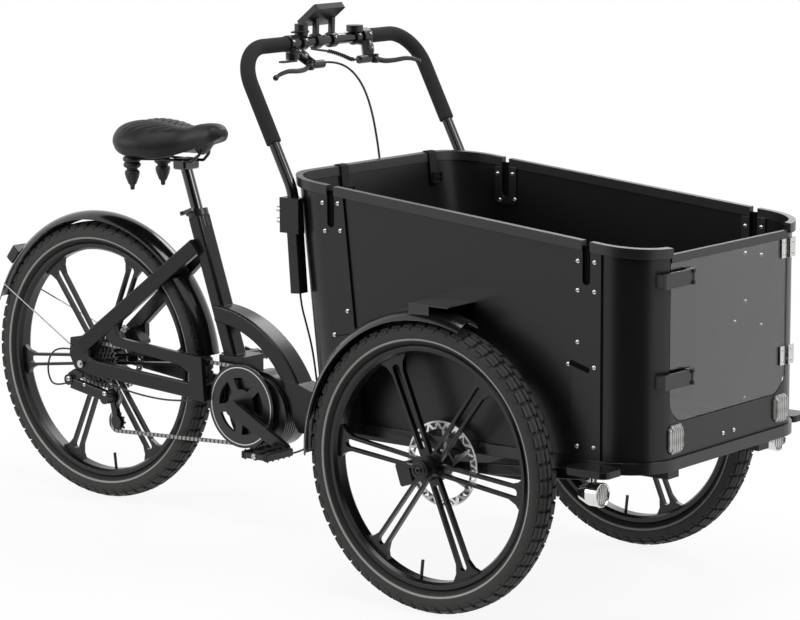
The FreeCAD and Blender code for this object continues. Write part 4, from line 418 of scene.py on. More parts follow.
def tyre(name, radius, hub, body, pitches):
    """Carcass of revolution with rows of moulded lugs over its crown and shoulders."""
    spans = np.hypot(np.diff(TYRE_DROP), np.diff(TYRE_HALF))
    reach = np.concatenate([[0], np.cumsum(spans)])
    profile = [(radius - d, -h) for d, h in zip(TYRE_DROP[::-1], TYRE_HALF[::-1])]
    profile += [(radius - d, h) for d, h in zip(TYRE_DROP[1:], TYRE_HALF[1:])]
    turns = pitches * 3
    form = Form()
    for i in range(turns):
        a = math.tau * i / turns
        form.points += [(r * math.sin(a), y, r * math.cos(a)) for r, y in profile]
    form.faces = quads(turns, len(profile), wrap_rows=True)

    def level(t, line):
        return np.interp(t, reach, line)

    def slope(t, line):
        return level(t + 0.001, line) - level(t - 0.001, line)

    for k in range(pitches):
        for side in (-1, 1):
            turn = math.tau * (k + 0.25 * side) / pitches
            for outline, height in LUGS:
                middle = np.mean(outline, 0)
                first = len(form.points)
                for share, lift in ((1.04, -1.0), (1.0, height * 0.6), (0.9, height)):
                    for corner in outline:
                        s, t = (np.array(corner) * share + middle * (1 - share)) / 1000
                        run, fall = slope(t, TYRE_HALF), slope(t, TYRE_DROP)
                        size = math.hypot(run, fall)
                        r = radius - level(t, TYRE_DROP) + lift / 1000 * run / size
                        y = side * (level(t, TYRE_HALF) + lift / 1000 * fall / size)
                        a = turn + s / radius
                        form.points.append((r * math.sin(a), y, r * math.cos(a)))
                form.skin(first, len(outline))
    rubber = tyre_rubber(name + "_rubber", radius)
    return made(name, form, rubber, body, 32.0, hub)


rear_tyre = tyre("rear_tyre", REAR_RADIUS, REAR_HUB, "rear_wheel_body", 64)
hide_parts("rear_tire")


# ---------------------------------------------------------------- rear fender and light
# The rear fender is a pressed sheet in gloss black, held behind by a bright wire stay on each
# side. A small light with a red lens is fixed to its tail.

STAY_Y, LENS_FACE = 0.0353, -1.0185


def fender_gloss(name):
    paint = Finish(name, BLACK, 0.16, {"Coat Weight": 0.2}, soft=0.001)
    return paint.grained(500.0, 0.1, 0.3, 0.00003)


fender_paint = fender_gloss("fender_gloss")
dress(fender_paint, "front_fenders")
rear_fender_paint = fender_gloss("rear_fender_gloss")
stays = abs(rear_fender_paint.axes()[1]) > STAY_Y
rear_fender_paint.painted(stays, (0.6, 0.6, 0.59), 0.24, 1.0)
dress(rear_fender_paint, "rear_fender")

lamp_body = Finish("tail_light_plastic", BLACK, 0.32)
lamp_body.grained(900.0, 0.2, 0.3, 0.00004)
lamp_body.painted(lamp_body.axes()[0] < LENS_FACE, (0.42, 0.028, 0.024), 0.12)
dress(lamp_body, "tail_light")


# ---------------------------------------------------------------- saddle
# A broad foam saddle with a vinyl cover, pleated on top and drawn in round its base. It stands
# on two wire rails and two rubber springs, on a post in the seat tube.

post_black = Finish("post_black", BLACK, 0.16, {"Coat Weight": 0.6})
post_black.grained(900.0, 0.15, 0.3, 0.00001)
dress(post_black, "seat_post")

SADDLE_REAR, SADDLE_LOW = -0.6147, 0.836
SADDLE_LONG, SADDLE_HALF, SADDLE_TALL = 0.28, 0.112, 0.082
SADDLE_STATIONS = ((0.0, 0.446, 0.39, 0.78), (0.064, 0.786, 0.146, 0.915), (0.2, 1.0, 0.024, 1.0),
                   (0.361, 0.964, 0.0, 0.975), (0.514, 0.76, 0.0, 0.91), (0.664, 0.45, 0.15, 0.89),
                   (0.814, 0.33, 0.34, 1.0), (0.943, 0.3, 0.48, 1.0), (1.0, 0.19, 0.6, 0.9))
SADDLE_SECTION = ((0.0, 1.0), (0.42, 0.97), (0.76, 0.82), (0.97, 0.50), (0.95, 0.20), (0.78, 0.02),
                  (0.45, 0.06), (0.0, 0.10))
SADDLE_ENDS = ((0.93, 0.0018), (0.78, 0.0042), (0.52, 0.0062), (0.2, 0.0071))
PLEAT_ALONG, PLEAT_ACROSS, PLEAT_PITCH = 0.86, 0.55, 0.0165
PLEAT_DEEP, CHANNEL_DEEP, SEAM_DRAW = 0.0034, 0.0028, 0.018


def eased(values, steps, closed=False):
    """Points along a smooth line through the values, steps to each span."""
    values = np.array(values, float)
    count = len(values)
    found = []
    for i in range(count if closed else count - 1):
        ids = [i - 1, i, i + 1, i + 2]
        a, b, c, d = [values[k % count if closed else min(max(k, 0), count - 1)] for k in ids]
        for t in np.arange(steps) / steps:
            found.append(0.5 * (2 * b + (c - a) * t + (2 * a - 5 * b + 4 * c - d) * t * t
                                + (3 * b - a - 3 * c + d) * t ** 3))
    if not closed:
        found.append(values[-1])
    return np.array(found)


def limited(value):
    return min(max(value, 0), 1)


ring = eased([*SADDLE_SECTION, *[(-w, h) for w, h in SADDLE_SECTION[-2:0:-1]]], 6, True)
columns = len(ring)
saddle_points = []
for along, half, low, high in eased(SADDLE_STATIONS, 9):
    for w, h in ring:
        x, y = along * SADDLE_LONG, w * half * SADDLE_HALF
        z = (low + h * (high - low)) * SADDLE_TALL
        up = limited((h - 0.72) / 0.2)
        behind = limited((0.62 - along) / 0.12) * limited((along - 0.04) / 0.06)
        slant = x * PLEAT_ALONG + abs(y) * PLEAT_ACROSS
        fold = 0.5 + 0.5 * math.cos(slant * math.tau / PLEAT_PITCH)
        z -= PLEAT_DEEP * fold ** 4 * up * behind
        channel = math.exp(-(y / 0.011) ** 2) * limited((0.9 - along) / 0.3) * up
        z -= CHANNEL_DEEP * channel
        seam = math.exp(-((h - 0.2) / 0.035) ** 2) * (1 if abs(w) > 0.8 else 0)
        y *= 1 - SEAM_DRAW * seam
        saddle_points.append((SADDLE_REAR + x, y, SADDLE_LOW + z))
for edge, way in ((saddle_points[:columns], -1), (saddle_points[-columns:], 1)):
    middle = np.mean(edge, 0)
    more = [[tuple(middle + (np.array(p) - middle) * share + (way * push, 0, 0)) for p in edge]
            for share, push in SADDLE_ENDS]
    if way < 0:
        saddle_points = [p for row in more[::-1] for p in row] + saddle_points
    else:
        saddle_points += [p for row in more for p in row]
form = Form(saddle_points)
form.skin(0, columns)
vinyl = Finish("saddle_vinyl", (0.0125, 0.0125, 0.0122), 0.46, {"Specular IOR Level": 0.32})
vinyl.grained(1300.0, 0.25, 0.2, 0.00025)
# Painted shade: the pleat creases on top of the saddle are darkened where the folds dip in.
pleat_x, pleat_y, pleat_z = vinyl.axes()
slant = (pleat_x - SADDLE_REAR) * PLEAT_ALONG + abs(pleat_y) * PLEAT_ACROSS
pleat_shade = (slant * (math.tau / PLEAT_PITCH) + math.pi / 2).wave() > 0.78
pleat_shade = pleat_shade * (pleat_z > SADDLE_LOW + 0.062) * (pleat_x < SADDLE_REAR + 0.168)
vinyl.painted(pleat_shade * 0.85, 0.0008, 0.8)
saddle = made("saddle_cover", form, vinyl, "seat", 60.0)
softer = saddle.modifiers.new("fullness", "SUBSURF")
softer.levels = softer.render_levels = 1
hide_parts("saddle")


# ---------------------------------------------------------------- saddle springs and rails
# Two bent wire rails run from a socket under the nose through the post's head to the springs.
# Each spring is a moulded rubber bellows over a ribbed cone.

def bent(corners, radius, steps):
    """Points along straight runs with round corners."""
    corners = [Vector(c) for c in corners]
    found = [corners[0]]
    for a, b, c in zip(corners, corners[1:], corners[2:]):
        into, out = (a - b).normalized(), (c - b).normalized()
        half = into.angle(out) / 2
        back = radius / math.tan(half)
        centre = b + (into + out).normalized() * radius / math.sin(half)
        start, end = b + into * back - centre, b + out * back - centre
        found += [centre + start.slerp(end, i / steps).normalized() * radius
                  for i in range(steps + 1)]
    return found + [corners[-1]]


def heading(path, i):
    """Which way a path runs at one of its points."""
    return (path[min(i + 1, len(path) - 1)] - path[max(i - 1, 0)]).normalized()


def tube(form, path, radii, sides, flat=1.0, start=None):
    """A closed tube along a path, with a radius for each point and a flattened section if asked."""
    first = len(form.points)
    across = Vector(start) if start else (path[1] - path[0]).orthogonal().normalized()
    for i, spot in enumerate(path):
        ahead = heading(path, i)
        across = (across - ahead * across.dot(ahead)).normalized()
        over = ahead.cross(across) * flat
        for j in range(sides):
            a = math.tau * j / sides
            form.points.append(spot + (across * math.cos(a) + over * math.sin(a)) * radii[i])
    form.skin(first, sides)


POST_TOP = Vector((-0.4467, 0, 0.812))
WIRE_BEND, WIRE_RADIUS = 0.014, 0.0035
WIRE_ROUTE = ((64, 12, 62), (56, 16, 34), (34, 22, 17), (-58, 22, 17), (-100, 46, 17),
              (-121, 52, 17))
form = Form()
for sign in (-1, 1):
    corners = [POST_TOP + Vector((x, y * sign, z)) / 1000 for x, y, z in WIRE_ROUTE]
    path = bent(corners, WIRE_BEND, 8)
    tube(form, path, [WIRE_RADIUS] * len(path), 16)
made("saddle_rails", form, plated_black, "seat", 40.0)

spring_rubber = Finish("spring_rubber", 0.012, 0.5)
spring_rubber.grained(900.0, 0.25, 0.2, 0.00008)
SPRING_X, SPRING_Y, SPRING_Z = -0.122, 0.052, 0.035
BELLOWS = ((14, 0), (20, 3), (21, 6), (20.5, 9), (16.5, 12), (20.5, 15), (21.5, 19), (20.5, 23),
           (16.5, 26), (19.5, 29), (20.5, 33), (19, 37), (13, 41), (12.5, 44), (16.5, 47),
           (17.5, 51), (16, 56), (7, 79), (5.5, 82), (5, 89), (3, 91))
CONE_RIB = ((0.016, 0.052), (0.0135, 0.062), (0.0075, 0.078))
form = Form()
for sign in (-1, 1):
    spot = POST_TOP + Vector((SPRING_X, SPRING_Y * sign, SPRING_Z))
    turned(form, [(r / 1000, d / 1000) for r, d in BELLOWS], spot, (0, 0, -1), 40)
    for k in range(8):
        a = math.tau * k / 8
        out = Vector((math.cos(a), math.sin(a), 0))
        rib = [spot + out * r + Vector((0, 0, -d)) for r, d in CONE_RIB]
        tube(form, rib, [0.0016, 0.0016, 0.0012], 8)
springs = made("saddle_springs", form, spring_rubber, "seat", 40.0)
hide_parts("saddle_suspension")

SOCKET_SIDES, SOCKET_SQUARE = 28, 0.7
SOCKET = ((0.878, -0.392, 0.027, 0.022), (0.867, -0.393, 0.0235, 0.0195),
          (0.856, -0.3945, 0.017, 0.015), (0.848, -0.3955, 0.0095, 0.0105),
          (0.845, -0.396, 0.004, 0.0055))
form = Form()
for z, x, long, wide in SOCKET:
    for i in range(SOCKET_SIDES):
        a = math.tau * i / SOCKET_SIDES
        c, d = [math.copysign(abs(v) ** SOCKET_SQUARE, v) for v in (math.cos(a), math.sin(a))]
        form.points.append((x + long * c, wide * d, z))
form.skin(0, SOCKET_SIDES)
made("saddle_rail_socket", form, spring_rubber, "seat", 40.0)


# ---------------------------------------------------------------- cargo box
# The box is screwed together from bent sheets of satin black: a rear sheet, two sides and a front
# with rounded corners, on a moulded tray. A push-on edging covers the rim, and rubber lines the
# slots.

panel = Finish("box_sheet", (0.0075, 0.0075, 0.0073), 0.3, {"Specular IOR Level": 0.36},
               soft=0.001)
panel.grained(1500.0, 0.12, 0.15, 0.00004)
JOINT_FROM, JOINT_TO, JOINT_SIDE = 0.252, 0.304, 0.29
JOINT_RISE, JOINT_FOOT, JOINT_HALF = 0.21, 0.4823, 0.0011
panel_x, panel_y, panel_z = panel.axes()
seam_line = abs(panel_z - panel_x * JOINT_RISE - JOINT_FOOT) < JOINT_HALF
joint = (panel_x > JOINT_FROM) * (panel_x < JOINT_TO) * seam_line * (abs(panel_y) > JOINT_SIDE)
panel.painted(joint, 0.0005, 1.0)
dress(panel, "box_sides", "box_front", "box_rear")


def stadium(form, middle, tilt, long, wide, low, high):
    """An upright plate with round ends, between two distances from the middle plane."""
    steps, first = 12, len(form.points)
    for y in (low, high):
        for end in (1, -1):
            for i in range(steps + 1):
                a = math.pi * (i / steps - 0.5) + (0 if end > 0 else math.pi)
                u = end * (long - wide) / 2 + math.cos(a) * wide / 2
                v = math.sin(a) * wide / 2
                x = middle[0] + u * math.cos(tilt) - v * math.sin(tilt)
                form.points.append((x, y, middle[1] + u * math.sin(tilt) + v * math.cos(tilt)))
    form.skin(first, 2 * (steps + 1))


grommet = Finish("slot_rubber", 0.002, 0.85, {"Specular IOR Level": 0.1})
grommet.grained(900.0, 0.3, 0.1, 0.00005)
SLOT_AT, SLOT_TILT, WALL_Y = (0.886, 0.5425), math.radians(-16), 0.3128
SLOT_STEPS = ((0.05, 0.011, 0.3134), (0.044, 0.007, 0.3139))
CORNER_SLOTS = ((0.9013, 0.7948), (0.2473, 0.854))
BACKING_HALF, BACKING_FROM, BACKING_TO = 0.0096, 0.306, 0.3078
BACKING_FOOT, BACKING_HEAD = 0.094, 0.01
SIDES = (("right", -1), ("left", 1))
for side, sign in SIDES:
    form = Form()
    for long, wide, deep in SLOT_STEPS:
        low, high = sorted((WALL_Y * sign, deep * sign))
        stadium(form, SLOT_AT, SLOT_TILT, long, wide, low, high)
    made("side_slot_" + side, form, grommet, "front")
    form = Form()
    for x, rim_top in CORNER_SLOTS:
        block(form, (x - BACKING_HALF, BACKING_FROM * sign, rim_top - BACKING_FOOT),
              (x + BACKING_HALF, BACKING_TO * sign, rim_top - BACKING_HEAD), 0.0003)
    made("slot_backing_" + side, form, grommet, "front")

tray = Finish("tray_moulding", 0.009, 0.26, soft=0.002)
tray.grained(1000.0, 0.15, 0.25, 0.00006)
dress(tray, "box_floor")
edging = Finish("rim_edging", (0.0095, 0.0095, 0.0093), 0.36, soft=0.0015)
edging.grained(1100.0, 0.2, 0.25, 0.00008)
dress(edging, "rim_trim")
case_plastic = Finish("case_plastic", 0.011, 0.45, soft=0.0015)
case_plastic.grained(700.0, 0.2, 0.2, 0.00015)
dress(case_plastic, "battery_case")


# ---------------------------------------------------------------- screws
# Domed stainless screws with a hexagon socket hold the sheets to each other, and their ends show
# inside the box. Bolts of the same kind hold the gear changer together.

screw_steel = Finish("stainless_screw", (0.62, 0.62, 0.6), 0.25, {"Metallic": 1.0})
screw_steel.grained(1500.0, 0.1, 0.3, 0.00002)


def islands(name):
    """Lowest and highest corner of each separate solid of a CAD node."""
    form = bmesh.new()
    form.from_mesh(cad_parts[name].data)
    bmesh.ops.remove_doubles(form, verts=form.verts, dist=WELD)
    form.verts.ensure_lookup_table()
    left = set(form.verts)
    found = []
    while left:
        group, edge = set(), [left.pop()]
        while edge:
            vert = edge.pop()
            group.add(vert)
            for link in vert.link_edges:
                other = link.other_vert(vert)
                if other in left:
                    left.discard(other)
                    edge.append(other)
        places = np.array([v.co for v in group])
        found.append((places.min(0), places.max(0)))
    form.free()
    return sorted(found, key=lambda pair: tuple(np.round(pair[0], 5)))


def screw(form, foot, out, radius, tall):
    """A domed head with a six-sided socket, standing on its foot."""
    out = Vector(out)
    across = out.orthogonal().normalized()
    over = out.cross(across)
    steps = 24
    turns = [math.tau * i / steps for i in range(steps)]
    round_about = [across * math.cos(a) + over * math.sin(a) for a in turns]
    first = len(form.points)
    for share, rise in ((1.0, 0.0), (1.0, 0.25), (0.93, 0.55), (0.75, 0.85), (0.5, 1.0)):
        form.points += [foot + way * share * radius + out * rise * tall for way in round_about]
    for rise in (1.0, 0.35):
        for a, way in zip(turns, round_about):
            hexagon = math.cos(math.pi / 6) / math.cos((a % (math.pi / 3)) - math.pi / 6)
            form.points.append(foot + way * (0.42 * hexagon * radius) + out * rise * tall)
    form.skin(first, steps)


def struck(start, way, *names):
    """Where a line first meets these CAD nodes, and which way the surface looks there."""
    start = Vector(start)
    hits = [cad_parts[name].ray_cast(start, Vector(way)) for name in names]
    hits = [(spot, normal) for met, spot, normal, _ in hits if met]
    return min(hits, key=lambda hit: (hit[0] - start).length) if hits else None


BOX_SHEETS = ("box_sides", "box_front", "box_rear", "rim_trim")
END_RADIUS, END_TALL, GEAR_BOLT_TALL = 0.0052, 0.0028, 0.003
GEAR_BOLTS = ((-0.7494, 0.2947, 0.0062), (-0.705, 0.284, 0.0045), (-0.6475, 0.268, 0.0062),
              (-0.652, 0.2, 0.005))
heads, ends = Form(), Form()
for low, high in islands("box_screws"):
    size, middle = high - low, (low + high) / 2
    thin = int(np.argmin(size))
    tall = float(size[thin])
    out = Vector((0, 0, 0))
    out[thin] = 1 if thin == 0 or middle[1] > 0 else -1
    foot = Vector(middle) - out * tall / 2
    screw(heads, foot, out, float(size.max()) / 2, tall)
    met = struck((middle[0], 0, middle[2]), out, *BOX_SHEETS) if thin == 1 else None
    if met:
        screw(ends, met[0], -out, END_RADIUS, END_TALL)
bolts = Form()
for x, z, radius in GEAR_BOLTS:
    met = struck((x, -0.2, z), (0, 1, 0), "rear_derailleur")
    if met:
        screw(bolts, met[0], (0, -1, 0), radius, GEAR_BOLT_TALL)
made("gear_bolts", bolts, screw_steel, "frame")
made("box_screw_ends", ends, screw_steel, "front")
screws = made("box_screw_heads", heads, screw_steel, "front")
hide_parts("box_screws")


# ---------------------------------------------------------------- door
# The door is a clear acrylic sheet with rounded lower corners. Two stainless butt hinges hold its
# left edge, two black turning latches its right edge, and a black strip caps the top.

acrylic = Finish("clear_acrylic", (0.93, 0.94, 0.935), 0.03,
                 {"Transmission Weight": 1.0, "IOR": 1.49})
acrylic.feed("Roughness", acrylic.noise(9.0, 2.0) * 0.012)
dress(acrylic, "door_sheet")
HINGE_FROM, STRIP_FOOT = 0.185, 0.7508
hinge_steel = Finish("brushed_hinge", (0.62, 0.62, 0.61), 0.25, {"Metallic": 1.0}, soft=0.001)
hinge_steel.grained(900.0, 0.15, 0.3, 0.00003, (1, 0.05, 1))
_, hinge_y, hinge_z = hinge_steel.axes()
black_parts = 1 - (hinge_y > HINGE_FROM) * (hinge_z < STRIP_FOOT)
hinge_steel.painted(black_parts, 0.01, 0.4)
hinge_steel.feed("Metallic", 1 - black_parts)
dress(hinge_steel, "door_hardware", "door_fittings")
for name, leaf, body, y in (("door_hinge_screws", "door_hardware", "door", 0.203),
                            ("box_hinge_screws", "door_fittings", "front", 0.236)):
    form = Form()
    for z in (0.493, 0.517, 0.719, 0.743):
        met = struck((1.2, y, z), (-1, 0, 0), leaf)
        if met:
            screw(form, met[0], (1, 0, 0), 0.0036, 0.0015)
    made(name, form, screw_steel, body)
latch_plastic = Finish("latch_plastic", 0.012, 0.38, soft=0.002)
latch_plastic.grained(800.0, 0.25, 0.2, 0.0001)
dress(latch_plastic, "latch_upper", "latch_lower")


# ---------------------------------------------------------------- front reflectors
# Two clear reflectors with cut corners are fixed low on the front of the box. Each is moulded
# with rows of small prisms behind a raised edge.

prism = Finish("clear_prism", (0.6, 0.6, 0.58), 0.1, {"Specular IOR Level": 0.9}, soft=0.0025)
prism.grained(300.0, 0.1, 0.3, 0.00002)
_, prism_y, prism_z = prism.axes()
facet_relief_and_shade = (prism_y * 900.0).wave() + (prism_z * 260.0).wave() * 0.4
prism.relief(facet_relief_and_shade, 0.0012)
# Painted shade: the facets are darkened where the facet pattern is high, standing in for the
# prisms' light and shade.
prism.painted((facet_relief_and_shade > 0.25) * 0.85, (0.16, 0.16, 0.155))
REFLECTOR_X, REFLECTOR_Y, REFLECTOR_Z = 1.0363, 0.197, 0.3955
REFLECTOR_HALF, REFLECTOR_TALL = 0.024, 0.0295
REFLECTOR_OUTLINE = ((-1, 0.68), (-0.62, 1), (0.62, 1), (1, 0.68), (1, -0.68), (0.62, -1),
                     (-0.62, -1), (-1, -0.68))
REFLECTOR_STEPS = ((0.0001, 1.0), (0.004, 1.0), (0.0082, 0.86), (0.009, 0.8), (0.0078, 0.75),
                   (0.0078, 0.1))
form = Form()
for middle in (-REFLECTOR_Y, REFLECTOR_Y):
    first = len(form.points)
    for out, share in REFLECTOR_STEPS:
        form.points += [(REFLECTOR_X + out, middle + REFLECTOR_HALF * share * y,
                         REFLECTOR_Z + REFLECTOR_TALL * share * z) for y, z in REFLECTOR_OUTLINE]
    form.skin(first, len(REFLECTOR_OUTLINE))
reflectors = made("front_reflectors", form, prism, "front", 20.0)
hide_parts("reflectors")


# ---------------------------------------------------------------- front wheels
# The two front wheels are the smaller casting, one each side of the box, with the same tyre
# and a disc brake inside. A black cap with a bolt closes each hub.

FRONT_RADIUS = 0.305
FRONT_AXLE = (0.5583, 0, FRONT_RADIUS)
WHEEL_Y, HUB_FACE = 0.372, 0.412
HUB_CAP = ((0.0165, -0.001), (0.0165, 0.0012), (0.0145, 0.0028), (0.0128, 0.0028),
           (0.0118, 0.0008))
for side, sign in SIDES:
    hub = (FRONT_AXLE[0], WHEEL_Y * sign, FRONT_AXLE[2])
    body = "wheel_" + side
    front_tyre = tyre("front_tyre_" + side, FRONT_RADIUS, hub, body, 59)
    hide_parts("front_tire_" + side)
    dress(ground_steel("front_disc_steel_" + side, hub), "front_rotor_" + side)
    face = Vector((hub[0], HUB_FACE * sign, hub[2]))
    form = Form()
    turned(form, HUB_CAP, face, (0, sign, 0), 40)
    screw(form, face, (0, sign, 0), 0.0088, 0.005)
    made("hub_cap_" + side, form, anodised, body)


# ---------------------------------------------------------------- front lamps
# A bright round lamp stands under each step. A rolled bezel holds its clear lens, which is
# slightly domed.

lamp_metal = Finish("bright_lamp", (0.7, 0.7, 0.69), 0.12, {"Metallic": 1.0})
lamp_metal.grained(600.0, 0.1, 0.4, 0.00002)
dress(lamp_metal, "headlights")
LAMP_X, LAMP_Y, LAMP_Z = 0.9523, 0.331, 0.294
LAMP_RIM = ((0.0215, -0.003), (0.0246, -0.002), (0.0252, 0.001), (0.0246, 0.004), (0.0228, 0.005),
            (0.0212, 0.0036), (0.021, 0.0012))
LAMP_DOME = ((0.0212, 0.0008), (0.0205, 0.0016), (0.016, 0.0032), (0.0105, 0.0044), (0.005, 0.005),
             (0.0006, 0.0052))
for side, sign in SIDES:
    for name, profile, finish, slot in (("lamp_bezel_", LAMP_RIM, lamp_metal, "lamp_chrome"),
                                        ("lamp_lens_", LAMP_DOME, prism, "reflector_clear")):
        form = Form()
        turned(form, profile, (LAMP_X, LAMP_Y * sign, LAMP_Z), (1, 0, 0), 40)
        made(name + side, form, finish, "front", 40.0)


# ---------------------------------------------------------------- handlebar
# One steel tube is bent up from clamps behind the box and over to the other side. It is gloss
# black where it is bare, with thick foam over each corner.

dress(fender_paint, "handlebar")
CLAMP_HEAD_X, CLAMP_HEAD_Z = 0.1101, 0.757
clamp_paint = Finish("clamp_paint", BLACK, 0.3, {"Specular IOR Level": 0.34}, soft=0.002)
clamp_paint.grained(900.0, 0.12, 0.25, 0.00004)
clamp_x, _, clamp_z = clamp_paint.axes()
clamp_heads = (clamp_x < CLAMP_HEAD_X) * (clamp_z > CLAMP_HEAD_Z)
clamp_paint.painted(clamp_heads, (0.6, 0.6, 0.59), 0.25, 1.0)
dress(clamp_paint, "handlebar_clamps")
foam = Finish("grip_foam", (0.019, 0.019, 0.0187), 0.82, {"Specular IOR Level": 0.25})
foam.grained(1100.0, 0.35, 0.1, 0.0003)

FOAM_CORNERS = ((0.0823, 0.3, 0.93), (-0.0197, 0.3, 1.126), (-0.0197, 0.14, 1.126))
FOAM_BEND, FOAM_RADIUS = 0.085, 0.0165
EDGE_STEPS, EDGE_RADII = (0, 0.0006, 0.002, 0.004), [0.0138, 0.0152, 0.0161, FOAM_RADIUS]
for side, sign in SIDES:
    path = bent([(x, y * sign, z) for x, y, z in FOAM_CORNERS], FOAM_BEND, 24)
    start, end = path[0], path[-1]
    into, out = (path[1] - start).normalized(), (path[-2] - end).normalized()
    lead = [start + into * d for d in EDGE_STEPS]
    tail = [end + out * d for d in EDGE_STEPS[::-1]]
    run = [start.lerp(path[1], k / 12) for k in range(1, 12)]
    over = [path[-2].lerp(end, k / 8) for k in range(1, 8)]
    path = lead + run + path[1:-1] + over + tail
    plain = len(path) - 2 * len(EDGE_RADII)
    radii = EDGE_RADII + [FOAM_RADIUS] * plain + EDGE_RADII[::-1]
    form = Form()
    tube(form, path, radii, 32)
    grip = made("foam_grip_" + side, form, foam, "front", 50.0)
    if sign > 0:
        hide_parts("foam_grips")


# ---------------------------------------------------------------- controls
# Moulded brake bodies, a shifter and a bell are clamped round the bar with socket bolts. The
# brake blades are forged, with a ball at the tip, and a display with a glass face stands above.

control_plastic = Finish("control_plastic", 0.0095, 0.32, soft=0.0015)
control_plastic.grained(1000.0, 0.25, 0.25, 0.0001)
dress(control_plastic, "lever_mounts", "bar_fittings", "shift_lever", "bell_lever")

LID_FROM, LID_TO = (-0.0107, 0.126, 1.111), (0.0193, 0.096, 1.08)
LID = ((0.04, 0.005), (0.08, 0.0082), (0.15, 0.0098), (0.36, 0.0102), (0.57, 0.0098),
       (0.64, 0.0082), (0.68, 0.005))
LID_LIFT, LID_FLAT, LID_BOLT_LIFT = 0.0108, 0.4, 0.0144
BAR_BOLTS, BAR_BOLT_X, BAR_BOLT_Z = (-0.132, -0.088, -0.066, 0.012, 0.096, 0.132), 0.2, 1.133
lids, bolts = Form(), Form()
for sign in (-1, 1):
    start, end = [Vector((x, y * sign, z)) for x, y, z in (LID_FROM, LID_TO)]
    along = (end - start).normalized()
    out = Vector((1, 0, 0.25))
    out = (out - along * out.dot(along)).normalized()
    path = [start.lerp(end, t) + out * LID_LIFT for t, _ in LID]
    tube(lids, path, [r for _, r in LID], 20, LID_FLAT, along.cross(out))
    for t in (0.2, 0.52):
        foot = start.lerp(end, t) + out * LID_BOLT_LIFT
        screw(bolts, foot, out, 0.0028, 0.0016)
for y in BAR_BOLTS:
    met = struck((BAR_BOLT_X, y, BAR_BOLT_Z), (-1, 0, 0), "lever_mounts", "bar_fittings")
    if met:
        screw(bolts, *met, 0.0036, 0.002)
made("brake_body_lids", lids, control_plastic, "front", 40.0)
made("bar_bolts", bolts, screw_steel, "front")

lever_metal = Finish("lever_metal", 0.04, 0.3, {"Metallic": 0.7}, soft=0.001)
lever_metal.grained(1200.0, 0.2, 0.3, 0.00003)
BLADE = ((25.3, 112, 1079.5), (31, 138, 1073), (36.5, 168, 1072.5), (41, 203, 1074.5),
         (42.5, 231, 1070.5), (42.5, 246, 1064))
BLADE_RADIUS, BLADE_TAPER, BLADE_FLAT, BALL_RADIUS = 0.0062, 0.0018, 0.62, 0.0064
BOSS = ((0.0078, -0.0062), (0.0084, -0.005), (0.0084, 0.004), (0.0076, 0.005), (0.0036, 0.005),
        (0.003, 0.0036))
BALL = [(BALL_RADIUS * math.sin(a), -BALL_RADIUS * math.cos(a))
        for a in np.linspace(0.05, math.pi - 0.05, 12)]
for side, sign in SIDES:
    path = [Vector((x, y * sign, z)) / 1000 for x, y, z in eased(BLADE, 6)]
    radii = [BLADE_RADIUS - BLADE_TAPER * t for t in np.linspace(0, 1, len(path))]
    form = Form()
    tube(form, path, radii, 20, BLADE_FLAT, (0, 0, 1))
    turned(form, BALL, path[-1] + Vector((0, 0.0008 * sign, 0)), (0, sign, 0), 24)
    turned(form, BOSS, (0.0253, 0.112 * sign, 1.08), (0, 0, 1), 28)
    body = "brake_" + side
    lever = made("brake_blade_" + side, form, lever_metal, body, 40.0)
    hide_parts("brake_lever_" + side)

glass = Finish("display_glass", (0.006, 0.007, 0.008), 0.08)
glass.grained(40.0, 0.2, 0.2, 0.000005)
DISPLAY_AT = Vector((-0.0147, -0.026, 1.184))
DISPLAY_TILT = Matrix(((0, 0.788, -0.616), (1, 0, 0), (0, 0.616, 0.788)))
form = Form()
block(form, (-0.0455, -0.0295, 0.0062), (0.0455, 0.0295, 0.0078), 0.0006)
form.points = [DISPLAY_TILT @ p + DISPLAY_AT for p in form.points]
made("display_screen", form, glass, "front")


# ---------------------------------------------------------------- straps
# Two short lengths of black webbing are looped over the rear rim, each with a plastic
# ladder buckle on the inside.

webbing = Finish("strap_webbing", (0.014, 0.014, 0.0138), 0.72, {"Specular IOR Level": 0.3})
webbing.grained(900.0, 0.3, 0.15, 0.0001)
_, weft, warp = webbing.axes()
weave = (weft * 3900.0).wave() * (warp * 3000.0).wave()
webbing.relief(weave, 0.0003)
buckle_plastic = Finish("buckle_plastic", 0.012, 0.35)
buckle_plastic.grained(900.0, 0.2, 0.25, 0.00006)

